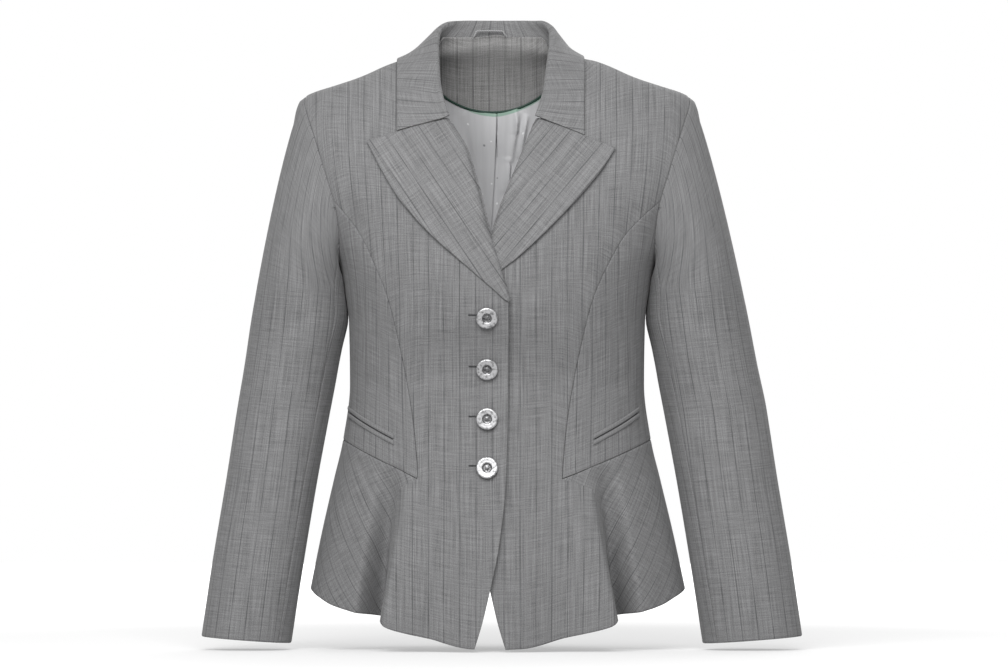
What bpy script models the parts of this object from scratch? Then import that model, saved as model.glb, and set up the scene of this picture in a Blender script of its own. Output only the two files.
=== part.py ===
"""A fitted single-breasted jacket with a fluted peplum, filled out as when worn, and empty.

Every length here is in millimetres, and make_object turns the finished points into metres.
X runs to the viewer's right, Y from the front of the jacket to its back, and Z up.
The origin is the centre of the neck, level with the neck ends of the shoulder seams.
Right and left are the wearer's, so the right side has the negative X.
"""

import math
from collections import namedtuple
from functools import lru_cache

import bpy

MM = 0.001

# Cloth and seams
WALL = 2.0
THIN_WALL = 1.2
SEAM_GAP = 0.3
LAYER_GAP = 0.4
OVERLAP_GAP = 0.8
RIGHT, LEFT = -1, 1

# Driving lines of the cut
FRONT_CENTRE = -7.0
COLLAR_CENTRE = -5.0
SHOULDER_TIP = -43.0
UNDERARM = -218.0
ARMHOLE_FRONT_REACH = math.radians(33)
ARMHOLE_BACK_REACH = math.radians(30)
PRINCESS_TOP = -150.0
WAIST_CORNER = -434.0
WAIST_SIDE = -396.0
WAIST_BACK = -388.0
BACK_NECK = 16.0
GORGE = -64.0
BREAK_POINT = -250.0
OVERLAP_FADE = 70.0
OVERLAP_TOP = -130.0
TOP_HOLD = 5
SKIRT_FLARE_DROP = 18.0
SHOULDER_ROUNDING = 20.0

# Buttons
BUTTON_HEIGHTS = (-269.0, -322.0, -373.0, -423.0)
BUTTON_X = -10.0
BUTTON_GAP = 0.5

# The body as level sections: half_width is where the section is widest, at side_y,
# front and back are its depths from there, and square is the power of its rounding.
Section = namedtuple("Section", "height half_width side_y front back square")
SECTIONS = (
    Section(16, 58, 34, 26, 51, 2.0),
    Section(0, 72, 31, 33, 57, 2.0),
    Section(-10, 102, 27, 40, 67, 2.05),
    Section(-25, 143, 22, 52, 78, 2.15),
    Section(-34, 170, 19, 60, 85, 2.2),
    Section(-39, 186, 17.5, 64, 88, 2.25),
    Section(-43, 196, 16.5, 68, 90, 2.25),
    Section(-50, 203, 16, 74, 92, 2.3),
    Section(-62, 207, 15, 83, 95, 2.3),
    Section(-85, 210, 13, 98, 100, 2.3),
    Section(-115, 208, 11, 113, 106, 2.3),
    Section(-150, 194, 8, 124, 109, 2.3),
    Section(-190, 176, 4, 127, 108, 2.3),
    Section(-218, 163, 1, 128, 107, 2.25),
    Section(-245, 157, 0, 127, 104, 2.2),
    Section(-275, 152.5, -1, 121, 99, 2.2),
    Section(-339, 150, -3, 104, 90, 2.2),
    Section(-396, 157, -2, 104, 97, 2.2),
    Section(-435, 166, -1, 108, 107, 2.15),
    Section(-490, 179, 0, 114, 122, 2.1),
    Section(-550, 192, 1, 120, 138, 2.1),
    Section(-615, 205, 2, 126, 152, 2.1),
)

# The flutes of the peplum: a bump of that reach about an angle from the side seam,
# towards the front where it is positive, growing from its top down to the hem.
# Lean carries the bump along the cloth towards the side seam, so a flute overhangs.
Fold = namedtuple("Fold", "side angle half_angle reach lean top")
FOLDS = (
    Fold(RIGHT, 62, 11, 16, 14, -432),
    Fold(RIGHT, 51, 11, -27, -8, -432),
    Fold(RIGHT, 18, 20, 4, 0, -415),
    Fold(LEFT, 74, 9, -5, 0, -470),
    Fold(LEFT, 58, 11, 15, 12, -432),
    Fold(LEFT, 47, 11, -25, -4, -432),
    Fold(LEFT, 14, 20, 5, 0, -415),
    Fold(RIGHT, -28, 16, 11, 0, -400),
    Fold(RIGHT, -47, 12, -15, 0, -400),
    Fold(RIGHT, -66, 15, 12, 0, -400),
    Fold(LEFT, -30, 16, 11, 0, -400),
    Fold(LEFT, -49, 12, -15, 0, -400),
    Fold(LEFT, -68, 15, 12, 0, -400),
)
FOLD_DEPTH_RANGE = 150.0

# Height of the hem by angle from the side seam.
HemPoint = namedtuple("HemPoint", "angle height")
HEM = (
    HemPoint(-90, -545),
    HemPoint(-45, -545),
    HemPoint(0, -547),
    HemPoint(20, -559),
    HemPoint(40, -571),
    HemPoint(50, -579),
    HemPoint(62, -588),
    HemPoint(80, -604),
    HemPoint(100, -612),
)

# Front edges, as distances out from the centre line at each height.
EdgePoint = namedtuple("EdgePoint", "height reach")
PRINCESS = (
    EdgePoint(-434, 73.5),
    EdgePoint(-410, 75.5),
    EdgePoint(-372, 79.5),
    EdgePoint(-330, 86.5),
    EdgePoint(-290, 95),
    EdgePoint(-250, 105),
    EdgePoint(-215, 119),
    EdgePoint(-188, 132),
    EdgePoint(-166, 147),
    EdgePoint(-150, 161),
)
CLOSING_EDGE = (
    EdgePoint(-612, 21),
    EdgePoint(-585, 9),
    EdgePoint(-550, -2),
    EdgePoint(-500, -10),
    EdgePoint(-430, -15.5),
    EdgePoint(-330, -18.5),
    EdgePoint(-250, -19),
)
ROLL_LINE = (
    EdgePoint(-250, -18),
    EdgePoint(-218, -9),
    EdgePoint(-189, -1.5),
    EdgePoint(-175, 3),
    EdgePoint(-144, 13),
    EdgePoint(-114, 24),
    EdgePoint(-85, 36.5),
    EdgePoint(-64, 48),
)
LAPEL_EDGE = (
    EdgePoint(-244, -11),
    EdgePoint(-240, -6),
    EdgePoint(-222, 13),
    EdgePoint(-203, 35),
    EdgePoint(-186, 53),
    EdgePoint(-163, 76),
    EdgePoint(-140, 96),
    EdgePoint(-118, 111),
    EdgePoint(-89, 128),
)

# The collar from the centre back to the gorge: its neck seam lies on the body at an angle
# and height, the roll line is a free curve, and the outer edge lies on the body again,
# past the shoulder at a steady reach from the centre.
Station = namedtuple(
    "Station", "seam_angle seam_height roll_x roll_y roll_z edge_angle edge_height"
)
COLLAR = (
    Station(-90, 16, 0, 91, 36, -90, -24),
    Station(-62, 11, 27, 87, 36, -75, -24),
    Station(-34, 6, 46, 76, 33, -57, -21.5),
    Station(-10, 1.5, 56, 54, 24, -30, -14),
    Station(30, -4, 58, 24, 9, 2, -8.7),
    Station(60, -20, 56, -17, -12, 40, -18.5),
    Station(74, -42, 52.5, -51, -37, 62, -43),
    Station(78, -63, 48, -76, -62, 65, -77),
)
COLLAR_EDGE_REACH = 97.5
COLLAR_SHOULDER = 4 / 7
COLLAR_FALL_LIFT = 3.4
COLLAR_CLEARANCE = 2.8
COLLAR_ROLL_BULGE = 5.0
COLLAR_SEAM_GAP = 1.5

# The sleeve below the cap as rings: inner_x and outer_x are its front outline,
# and left_more is how much wider the left sleeve stands out.
Ring = namedtuple("Ring", "height inner_x outer_x left_more centre_y depth")
SLEEVE = (
    Ring(-246, 161, 248, 5, 4, 128),
    Ring(-275, 157, 253, 6, 5, 124),
    Ring(-322, 164, 260, 8, 5, 118),
    Ring(-370, 173, 268, 10, 1, 112),
    Ring(-435, 185, 278, 10, -8, 104),
    Ring(-532, 201, 294, 10, -24, 95),
    Ring(-601, 211.5, 304, 10, -34, 88),
)
SLEEVE_TILT = 0.075
SLEEVE_GAP = 0.7
TIP_GAP = 0.9
CAP_LEAVE = 0.09
CAP_ARRIVE = 0.5

# The armhole's seam is stepped alike on the body and on the sleeve.
SIDE_FRONT_ARM_STEPS = 5
FRONT_ARM_STEPS = 6
BACK_ARM_STEPS = 10
SIDE_FRONT_SHORT = math.radians(4)
FRONT_SLEEVE_SEAM_STEP = 3
BACK_SLEEVE_SEAM_STEP = 6

# Inside of the neck
INSIDE_GAP = 1.6
FACING_BOTTOM = -59.0
FACING_RADIUS = 84.0
FACING_REACH = 62.0
LINING_WALL = 1.0
TUCK_DEPTH = 2.5
TUCK_HALF_ANGLE = math.radians(4)
PIPING_RADIUS = 1.2
PIPING_ROOM = 1.7
LOOP_REACH = (-19, -15, -11, 0, 11, 15, 19)
LOOP_RISE = (0.12, 0.42, 0.52, 0.55, 0.52, 0.42, 0.12)
LOOP_RADIUS = 1.2

# The lining's side edge, up from its bottom, clear of the armhole.
LiningPoint = namedtuple("LiningPoint", "share angle height")
LINING_SIDE = (
    LiningPoint(0.0, -4, -380),
    LiningPoint(0.4, -4, -262),
    LiningPoint(0.6, -38, -200),
    LiningPoint(0.8, -38, -100),
)

# Pocket slit, as height by distance from the centre.
SlitPoint = namedtuple("SlitPoint", "reach height")
POCKET = (
    SlitPoint(102, -394),
    SlitPoint(118, -387),
    SlitPoint(133, -379),
    SlitPoint(149, -367),
)
WELT_WIDTH = 5.0
SLIT_WIDTH = 1.0

# Half of a button's outline, from its foot on the cloth round its rim to its middle.
ButtonPoint = namedtuple("ButtonPoint", "radius rise")
BUTTON = (
    ButtonPoint(3.0, 0.0),
    ButtonPoint(3.0, 1.8),
    ButtonPoint(9.6, 2.0),
    ButtonPoint(11.0, 2.9),
    ButtonPoint(11.2, 3.9),
    ButtonPoint(10.4, 4.8),
    ButtonPoint(9.0, 4.9),
    ButtonPoint(7.8, 4.2),
    ButtonPoint(3.4, 3.9),
    ButtonPoint(2.4, 3.2),
)
BUTTON_SIDES = 20

CLOTH_GREY = (0.23, 0.23, 0.235, 1)
LINING_GREY = (0.36, 0.36, 0.38, 1)
PIPING_GREEN = (0.006, 0.055, 0.032, 1)
BUTTON_METAL = (0.62, 0.62, 0.63, 1)


def lerp(a, b, t):
    return a + (b - a) * t


def ease(t):
    t = min(1.0, max(0.0, t))
    return t * t * (3 - 2 * t)


def smooth(knots, at):
    """The value at a place on a smooth curve through (place, value) knots, with no overshoot."""
    knots = sorted(knots)
    if at <= knots[0][0]:
        return knots[0][1]
    if at >= knots[-1][0]:
        return knots[-1][1]
    spans = [b[0] - a[0] for a, b in zip(knots, knots[1:])]
    rises = [(b[1] - a[1]) / h for a, b, h in zip(knots, knots[1:], spans)]
    slopes = [rises[0]]
    for i in range(1, len(rises)):
        before, after = rises[i - 1], rises[i]
        flat = before * after <= 0
        slopes.append(0.0 if flat else 2 * before * after / (before + after))
    slopes.append(rises[-1])
    i = max(k for k in range(len(spans)) if knots[k][0] <= at)
    t = (at - knots[i][0]) / spans[i]
    start = knots[i][1] + t * t * (3 - 2 * t) * (knots[i + 1][1] - knots[i][1])
    bend = spans[i] * t * (1 - t) * ((1 - t) * slopes[i] - t * slopes[i + 1])
    return start + bend


def column(rows, key, value, at):
    """One named column of a table, read smoothly at a place in its key column."""
    return smooth([(getattr(row, key), getattr(row, value)) for row in rows], at)


@lru_cache(maxsize=None)
def section(height):
    names = Section._fields[1:]
    return Section(height, *(column(SECTIONS, "height", name, height) for name in names))


def fold_shift(side, angle, height):
    """How far the flutes push the body's surface out and along towards the side at this place."""
    degrees = math.degrees(angle)
    out, lean = 0.0, 0.0
    for fold in FOLDS:
        away = abs(degrees - fold.angle) / fold.half_angle
        drop = (fold.top - height) / FOLD_DEPTH_RANGE
        if fold.side == side and away < 1 and drop > 0:
            share = min(drop, 1.2) ** 1.15 * math.cos(away * math.pi / 2) ** 2
            out += fold.reach * share
            lean += fold.lean * share
    return out, lean


def body(side, angle, height, folded=True):
    """A point of the body's outer surface. The angle is 0 at the side seam and 90 degrees at the
    centre front, -90 at the centre back, and runs on past either centre to the other side."""
    if abs(angle) > math.pi / 2:
        side, angle = -side, math.copysign(math.pi - abs(angle), angle)
    ring = section(height)
    depth = ring.front if angle > 0 else ring.back
    power = 2 / ring.square
    blur = SHOULDER_ROUNDING * math.sin(2 * min(abs(angle), math.pi / 4)) ** 2
    around = section(height - blur).half_width + section(height + blur).half_width
    x = (ring.half_width + around / 2) / 2 * abs(math.cos(angle)) ** power
    y = -math.copysign(depth * abs(math.sin(angle)) ** power, angle)
    out, lean = fold_shift(side, angle, height) if folded else (0.0, 0.0)
    out_x, out_y = unit((math.cos(angle) / ring.half_width, -math.sin(angle) / depth))
    lean_x, lean_y = -out_y, out_x
    x += out_x * out + lean_x * lean
    y += out_y * out + lean_y * lean
    return side * x, ring.side_y + y, height


def subtract(a, b):
    return tuple(p - q for p, q in zip(a, b))


def cross(a, b):
    return (
        a[1] * b[2] - a[2] * b[1],
        a[2] * b[0] - a[0] * b[2],
        a[0] * b[1] - a[1] * b[0],
    )


def unit(v):
    length = math.sqrt(sum(p * p for p in v))
    return tuple(p / length for p in v)


def along(point, direction, distance):
    return tuple(p + d * distance for p, d in zip(point, direction))


def body_normal(side, angle, height):
    """The outward direction of the body's surface."""
    turn, rise = 0.012, 1.5
    around = subtract(body(side, angle + turn, height), body(side, angle - turn, height))
    up = subtract(body(side, angle, height + rise), body(side, angle, height - rise))
    normal = unit(cross(around, up))
    point = body(side, angle, height)
    outward = (point[0], point[1] - section(height).side_y, 0.0)
    facing = sum(p * q for p, q in zip(normal, outward))
    return normal if facing > 0 else tuple(-p for p in normal)


def lifted(side, angle, height, lift):
    return along(body(side, angle, height), body_normal(side, angle, height), lift)


def angle_at(side, x, height):
    """The angle at which the unfolded section at this height passes the given X, on the front."""
    reach = abs(x)
    low, high = 0.0, math.pi / 2
    for _ in range(26):
        middle = (low + high) / 2
        if body(LEFT, middle, height, folded=False)[0] > reach:
            low = middle
        else:
            high = middle
    return low if side * x >= 0 else math.pi - low


def front_angle(side, rows, height, centre):
    """The angle of a front edge given as a table of distances from its centre line."""
    reach = column(rows, "height", "reach", height)
    return angle_at(side, centre + side * reach, height)


def hem_height(angle):
    return column(HEM, "angle", "height", math.degrees(angle))


def armhole(turn):
    """(angle, height) on the armhole's loop: turn is 90 degrees at the shoulder tip, 0 at the
    front, -90 at the underarm and 180 at the back."""
    middle, half = (SHOULDER_TIP + UNDERARM) / 2, (SHOULDER_TIP - UNDERARM) / 2
    reach = ARMHOLE_FRONT_REACH if math.cos(turn) > 0 else ARMHOLE_BACK_REACH
    return reach * math.cos(turn), middle + half * math.sin(turn)


def armhole_turn(height, front=True):
    """The turn at which the armhole passes this height."""
    middle, half = (SHOULDER_TIP + UNDERARM) / 2, (SHOULDER_TIP - UNDERARM) / 2
    turn = math.asin(max(-1.0, min(1.0, (height - middle) / half)))
    return turn if front else math.pi - turn


def path(points):
    """A function from 0 to 1 along straight runs between (place, (angle, height)) points."""

    def at(t):
        for (a, start), (b, end) in zip(points, points[1:]):
            if t <= b:
                share = (t - a) / (b - a)
                return tuple(lerp(p, q, share) for p, q in zip(start, end))
        return points[-1][1]

    return at


def joined(*stretches):
    """One function from 0 to 1 out of several, each given with the place where it ends."""

    def at(t):
        begin = 0.0
        for end, stretch in stretches:
            if t <= end or end == stretches[-1][0]:
                return stretch((t - begin) / (end - begin))
            begin = end

    return at


def patch(bottom, top, first, last, columns, rows, hold=1):
    """A grid of (angle, height) places filling the space between four boundary curves.
    The higher hold is, the nearer to the top the top curve's own bends are kept."""
    grid = []
    corners = bottom(0), bottom(1), top(0), top(1)
    for j in range(rows + 1):
        v = j / rows
        rise = v**hold
        line = []
        for i in range(columns + 1):
            u = i / columns
            place = []
            for k in range(2):
                ruled = lerp(bottom(u)[k], top(u)[k], rise) + lerp(first(v)[k], last(v)[k], u)
                low = lerp(corners[0][k], corners[1][k], u)
                high = lerp(corners[2][k], corners[3][k], u)
                place.append(ruled - lerp(low, high, rise))
            line.append(tuple(place))
        grid.append(line)
    return grid


def trimmed(points, ends, draw):
    """Grid lines of 3D points with their first or last point drawn in."""
    for line in points:
        for end, inner in ends:
            direction = unit(subtract(line[inner], line[end]))
            line[end] = along(line[end], direction, draw)
    return points


def transposed(grid):
    return [list(line) for line in zip(*grid)]


def sewn_edges(points, draw):
    """A grid of 3D points with all four edges drawn in."""
    ends = ((0, 1), (-1, -2))
    across = trimmed(points, ends, draw)
    return transposed(trimmed(transposed(across), ends, draw))


def make_material(name, colour, roughness, metallic=0.0):
    material = bpy.data.materials.new(name)
    material.use_nodes = True
    shader = material.node_tree.nodes["Principled BSDF"]
    shader.inputs["Base Color"].default_value = colour
    shader.inputs["Roughness"].default_value = roughness
    shader.inputs["Metallic"].default_value = metallic
    return material


def make_object(name, points, faces, material):
    mesh = bpy.data.meshes.new(name)
    mesh.from_pydata([tuple(p * MM for p in point) for point in points], [], faces)
    mesh.shade_smooth()
    mesh.set_sharp_from_angle(angle=math.radians(50))
    mesh.materials.append(material)
    obj = bpy.data.objects.new(name, mesh)
    bpy.context.scene.collection.objects.link(obj)
    return obj


def signed_volume(points, faces):
    total = 0.0
    for face in faces:
        a = points[face[0]]
        for second, third in zip(face[1:], face[2:]):
            total += sum(p * q for p, q in zip(a, cross(points[second], points[third])))
    return total


def halves(points, a, b, c, d):
    """Two triangles for a quad, along its shorter diagonal."""
    if math.dist(points[a], points[c]) <= math.dist(points[b], points[d]):
        return (a, b, c), (a, c, d)
    return (a, b, d), (b, c, d)


def wall(name, outer, inner, material):
    """A closed sheet between two grids of points that match."""
    rows, columns = len(outer), len(outer[0])
    points = [p for line in outer for p in line] + [p for line in inner for p in line]
    shift = rows * columns
    faces = []
    for j in range(rows - 1):
        for i in range(columns - 1):
            a = j * columns + i
            for face in halves(points, a, a + 1, a + columns + 1, a + columns):
                faces.append(face)
                faces.append(tuple(shift + k for k in reversed(face)))
    rim = [i for i in range(columns)]
    rim += [j * columns + columns - 1 for j in range(1, rows)]
    rim += [(rows - 1) * columns + i for i in range(columns - 2, -1, -1)]
    rim += [j * columns for j in range(rows - 2, 0, -1)]
    for a, b in zip(rim, rim[1:] + rim[:1]):
        faces.append((b, a, shift + a, shift + b))
    if signed_volume(points, faces) < 0:
        faces = [tuple(reversed(face)) for face in faces]
    return make_object(name, points, faces, material)


def no_lift(angle, height):
    return 0.0


def panel(name, side, grid, material, lift=no_lift, thickness=WALL, draw=SEAM_GAP / 2):
    """A piece of cloth lying on the body over a grid of places, its outer face lifted off it."""
    outer = [[lifted(side, a, h, lift(a, h)) for a, h in line] for line in grid]
    inner = [[lifted(side, a, h, lift(a, h) - thickness) for a, h in line] for line in grid]
    return wall(name, sewn_edges(outer, draw), sewn_edges(inner, draw), material)


def over_lift(side):
    """The lift of the right front, which closes over the left front and its lapel."""

    def lift(angle, height):
        if side == LEFT:
            return 0.0
        x = body(side, angle, height)[0]
        layers = lerp(1, 2, ease((height - BREAK_POINT + 50) / 40))
        top_fade = ease((OVERLAP_TOP - height) / 50)
        share = ease((x - FRONT_CENTRE + OVERLAP_FADE) / (OVERLAP_FADE * 0.6))
        return layers * (WALL + OVERLAP_GAP) * share * top_fade

    return lift


def front_first_edge(side):
    """The closing edge up to the break point, then the roll line up to the gorge."""
    corner = CLOSING_EDGE[0].height

    def closing(t):
        height = lerp(corner, BREAK_POINT, t)
        return front_angle(side, CLOSING_EDGE, height, FRONT_CENTRE), height

    def roll(t):
        height = lerp(BREAK_POINT, GORGE, t)
        return front_angle(side, ROLL_LINE, height, COLLAR_CENTRE), height

    return joined((0.6, closing), (1.0, roll))


def valley_angle(side):
    return math.radians(next(f.angle for f in FOLDS if f.side == side and f.reach < -20))


def waist_corner(side):
    return front_angle(side, PRINCESS, WAIST_CORNER, FRONT_CENTRE), WAIST_CORNER


def waist_seam(side):
    """The slanting waist seam from its front corner up to the side, straight as seen in front."""
    corner = waist_corner(side)[0]

    def at(t):
        angle = lerp(corner, 0.0, t)
        rise = (math.cos(angle) - math.cos(corner)) / (1 - math.cos(corner))
        return angle, lerp(WAIST_CORNER, WAIST_SIDE, rise)

    return at


def skirt_seam(side):
    """The seam between the front and the peplum, from the hem in the flute up to the corner."""
    low, corner = valley_angle(side), waist_corner(side)
    flare = lerp(corner[0], low, 0.6), WAIST_CORNER - SKIRT_FLARE_DROP
    return path([(0, (low, hem_height(low))), (8 / 9, flare), (1, corner)])


def princess_line(side):
    def at(t):
        height = lerp(WAIST_CORNER, PRINCESS_TOP, t)
        return front_angle(side, PRINCESS, height, FRONT_CENTRE), height

    start, end = at(1), armhole(armhole_turn(PRINCESS_TOP))

    def drawn(t):
        angle, height = at(t)
        return angle + (end[0] - start[0]) * t**3, height

    return drawn


def armhole_stretch(begin, end):
    return lambda t: armhole(lerp(begin, end, t))


def front_neck_angle(side, height):
    """The angle of the front neckline, which meets the top of the roll line at the gorge."""
    rows = [s for s in COLLAR if s.seam_angle > 0]
    knots = [(0.0, 0.0)] + [(-s.seam_height, math.radians(s.seam_angle)) for s in rows]
    meet = front_angle(side, ROLL_LINE, GORGE, COLLAR_CENTRE) / knots[-1][1]
    return smooth(knots, -height) * lerp(1, meet, ease(height / GORGE))


def front_neckline(side):
    """From the top of the roll line round under the collar to the neck end of the shoulder."""

    def at(t):
        height = GORGE * (1 - t)
        return front_neck_angle(side, height), height

    return at


def make_front(side, name, cloth):
    hem_start = front_first_edge(side)(0)[0]
    hem_end = valley_angle(side)

    def hem(t):
        angle = lerp(hem_start, hem_end, t)
        return angle, hem_height(angle)

    tip = armhole_turn(SHOULDER_TIP)
    junction = armhole_turn(PRINCESS_TOP)
    outer = joined(
        (9 / 30, skirt_seam(side)),
        (24 / 30, princess_line(side)),
        (1.0, armhole_stretch(junction, tip)),
    )
    shoulder = path([(0, (0.0, 0.0)), (1, (0.0, SHOULDER_TIP))])
    top = joined((0.5, front_neckline(side)), (1.0, shoulder))
    grid = patch(hem, top, front_first_edge(side), outer, 14, 30, TOP_HOLD)
    return panel(name, side, grid, cloth, over_lift(side))


def make_side_front(side, name, cloth):
    junction, under = armhole_turn(PRINCESS_TOP), armhole_turn(UNDERARM)
    last = joined(
        (10 / 15, path([(0, (0.0, WAIST_SIDE)), (1, (0.0, UNDERARM))])),
        (1.0, armhole_stretch(under, junction - SIDE_FRONT_SHORT)),
    )
    first = princess_line(side)
    top = path([(0, first(1)), (1, last(1))])
    return panel(name, side, patch(waist_seam(side), top, first, last, 8, 15), cloth)


def make_peplum_front(side, name, cloth):
    low = valley_angle(side)

    def hem(t):
        angle = lerp(low, 0.0, t)
        return angle, hem_height(angle)

    side_seam = path([(0, (0.0, hem_height(0.0))), (1, (0.0, WAIST_SIDE))])
    grid = patch(hem, waist_seam(side), skirt_seam(side), side_seam, 8, 9)
    return panel(name, side, grid, cloth, draw=SEAM_GAP * 2)


def make_back(side, name, cloth):
    centre = -math.pi / 2
    outer = joined(
        (8 / 18, path([(0, (0.0, WAIST_SIDE)), (1, (0.0, UNDERARM))])),
        (1.0, armhole_stretch(armhole_turn(UNDERARM) + 2 * math.pi, armhole_turn(SHOULDER_TIP))),
    )
    neck = path([(0, (centre, BACK_NECK)), (1, (0.0, 0.0))])
    shoulder = path([(0, (0.0, 0.0)), (1, (0.0, SHOULDER_TIP))])
    grid = patch(
        path([(0, (centre, WAIST_BACK)), (1, (0.0, WAIST_SIDE))]),
        joined((0.5, neck), (1.0, shoulder)),
        path([(0, (centre, WAIST_BACK)), (1, (centre, BACK_NECK))]),
        outer,
        14,
        18,
        TOP_HOLD,
    )
    return panel(name, side, grid, cloth)


def make_peplum_back(side, name, cloth):
    centre = -math.pi / 2

    def hem(t):
        angle = lerp(centre, 0.0, t)
        return angle, hem_height(angle)

    grid = patch(
        hem,
        path([(0, (centre, WAIST_BACK)), (1, (0.0, WAIST_SIDE))]),
        path([(0, hem(0)), (1, (centre, WAIST_BACK))]),
        path([(0, hem(1)), (1, (0.0, WAIST_SIDE))]),
        14,
        6,
    )
    return panel(name, side, grid, cloth)


def grid_normals(grid):
    """The direction across a grid of 3D points, at each of them."""
    rows, columns = len(grid), len(grid[0])
    normals = []
    for j in range(rows):
        line = []
        for i in range(columns):
            across = subtract(grid[j][min(i + 1, columns - 1)], grid[j][max(i - 1, 0)])
            down = subtract(grid[min(j + 1, rows - 1)][i], grid[max(j - 1, 0)][i])
            line.append(unit(cross(across, down)))
        normals.append(line)
    return normals


def thickened(grid, thickness):
    """Two grids, half the thickness to each side of a grid of points."""
    normals = grid_normals(grid)
    sides = []
    for share in (0.5, -0.5):
        sides.append(
            [
                [along(p, n, thickness * share) for p, n in zip(line, directions)]
                for line, directions in zip(grid, normals)
            ]
        )
    return sides


def sleeve_ring(side, turn, height):
    ring = Ring(height, *(column(SLEEVE, "height", name, height) for name in Ring._fields[1:]))
    wide = ring.outer_x - ring.inner_x + (ring.left_more if side == LEFT else 0)
    x = ring.inner_x + wide / 2 * (1 + math.sin(turn))
    y = ring.centre_y - ring.depth / 2 * math.cos(turn)
    return side * x, y, height + SLEEVE_TILT * wide / 2 * math.sin(turn)


def sleeve_point(side, turn, t):
    """A point of the sleeve: t runs 0 to 1 down the cap and 1 to 2 down the tube."""
    top = SLEEVE[0].height
    if t >= 1:
        return sleeve_ring(side, turn, lerp(top, SLEEVE[-1].height, t - 1))
    angle, height = armhole(turn)
    high = 0.5 + 0.5 * math.sin(turn)
    start = along(body(side, angle, height), (side, 0, 0), SLEEVE_GAP + TIP_GAP * high**6)
    end = sleeve_ring(side, turn, top)
    down = unit(subtract(sleeve_ring(side, turn, top - 10), end))
    forward = body_normal(side, angle, height)[1]
    outward = unit((side * (0.15 + 0.5 * high), 0.3 * forward * (1 - high), -0.82))
    span = math.dist(start, end)
    leave = along(start, outward, span * CAP_LEAVE)
    arrive = along(end, down, -span * CAP_ARRIVE)
    weights = (1 - t) ** 3, 3 * t * (1 - t) ** 2, 3 * t * t * (1 - t), t**3
    corners = (start, leave, arrive, end)
    return tuple(sum(w * c[k] for w, c in zip(weights, corners)) for k in range(3))


def armhole_steps():
    """The turns round the armhole from the underarm up the front, over the tip and down the back."""
    junction, tip = armhole_turn(PRINCESS_TOP), armhole_turn(SHOULDER_TIP)
    under = armhole_turn(UNDERARM)

    def spread(begin, end, steps):
        return [lerp(begin, end, i / steps) for i in range(steps)]

    return (
        spread(under, junction - SIDE_FRONT_SHORT, SIDE_FRONT_ARM_STEPS)
        + [junction - SIDE_FRONT_SHORT]
        + spread(junction, tip, FRONT_ARM_STEPS)
        + spread(tip, under + 2 * math.pi, BACK_ARM_STEPS)
    )


def sleeve_turns():
    """The turns of the upper sleeve's columns and of the under sleeve's."""
    steps = armhole_steps()
    front, back = FRONT_SLEEVE_SEAM_STEP, len(steps) - BACK_ARM_STEPS + BACK_SLEEVE_SEAM_STEP
    wrapped = [turn + 2 * math.pi for turn in steps[: front + 1]]
    return steps[front : back + 1], steps[back:] + wrapped


def make_sleeve(side, name, turns, cloth):
    cap_rows, tube_rows = 7, 9
    rows = [j / cap_rows for j in range(cap_rows)]
    rows += [1 + j / tube_rows for j in range(tube_rows + 1)]
    outer = [[sleeve_point(side, turn, t) for turn in turns] for t in rows]
    step = 0.02
    inner = []
    for t, line in zip(rows, outer):
        inside = []
        for turn, point in zip(turns, line):
            around = subtract(sleeve_point(side, turn + step, t), sleeve_point(side, turn - step, t))
            low, high = min(2.0, t + step), max(0.0, t - step)
            down = subtract(sleeve_point(side, turn, low), sleeve_point(side, turn, high))
            normal = unit(cross(around, down))
            inside.append(along(point, normal, WALL * side))
        inner.append(inside)
    seams = ((0, 1), (-1, -2))
    draw = SEAM_GAP * 1.2
    outer, inner = trimmed(outer, seams, draw), trimmed(inner, seams, draw)
    return wall(name, outer, inner, cloth)


def collar_station(share):
    """A collar station between the table's rows, as they follow one another."""
    last = len(COLLAR) - 1
    place = share * last
    values = []
    for name in Station._fields:
        knots = [(i, getattr(row, name)) for i, row in enumerate(COLLAR)]
        values.append(smooth(knots, place))
    return Station(*values)


def outside(point):
    """About how far a point is outside the body's unfolded surface, and the direction out."""

    def level(x, y, z):
        ring = section(z)
        depth = ring.front if y < ring.side_y else ring.back
        total = (abs(x) / ring.half_width) ** ring.square
        total += (abs(y - ring.side_y) / depth) ** ring.square
        return total ** (1 / ring.square)

    step = 0.5
    slope = []
    for k in range(3):
        ahead, behind = list(point), list(point)
        ahead[k] += step
        behind[k] -= step
        slope.append((level(*ahead) - level(*behind)) / (2 * step))
    steepness = math.sqrt(sum(p * p for p in slope))
    return (level(*point) - 1) / steepness, unit(slope)


def clear_of_body(point, clearance):
    for _ in range(4):
        distance, direction = outside(point)
        if distance < clearance:
            point = along(point, direction, clearance - distance)
    return point


def collar_profile(side, share):
    """The neck seam, the roll and the edge of the collar at a share of its half length."""
    s = collar_station(share)
    shift = COLLAR_CENTRE * ease(share)
    roll = (side * s.roll_x + shift, s.roll_y, s.roll_z)
    seam_lift = lerp(-WALL / 2, COLLAR_CLEARANCE - WALL / 2, ease((share - 0.5) / 0.4))
    seam_angle, edge_angle = math.radians(s.seam_angle), math.radians(s.edge_angle)
    if s.seam_height < 0:
        seam_angle = front_neck_angle(side, s.seam_height)
    seam = lifted(side, seam_angle, s.seam_height, seam_lift)
    seam = along(seam, unit(subtract(roll, seam)), COLLAR_SEAM_GAP)
    if share > COLLAR_SHOULDER:
        fade = ease((share - COLLAR_SHOULDER + 0.1) / 0.2)
        edge_x = side * COLLAR_EDGE_REACH + COLLAR_CENTRE * fade
        edge_angle = angle_at(side, edge_x, s.edge_height)
    edge = lifted(side, edge_angle, s.edge_height, COLLAR_FALL_LIFT)
    return seam, roll, edge


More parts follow.
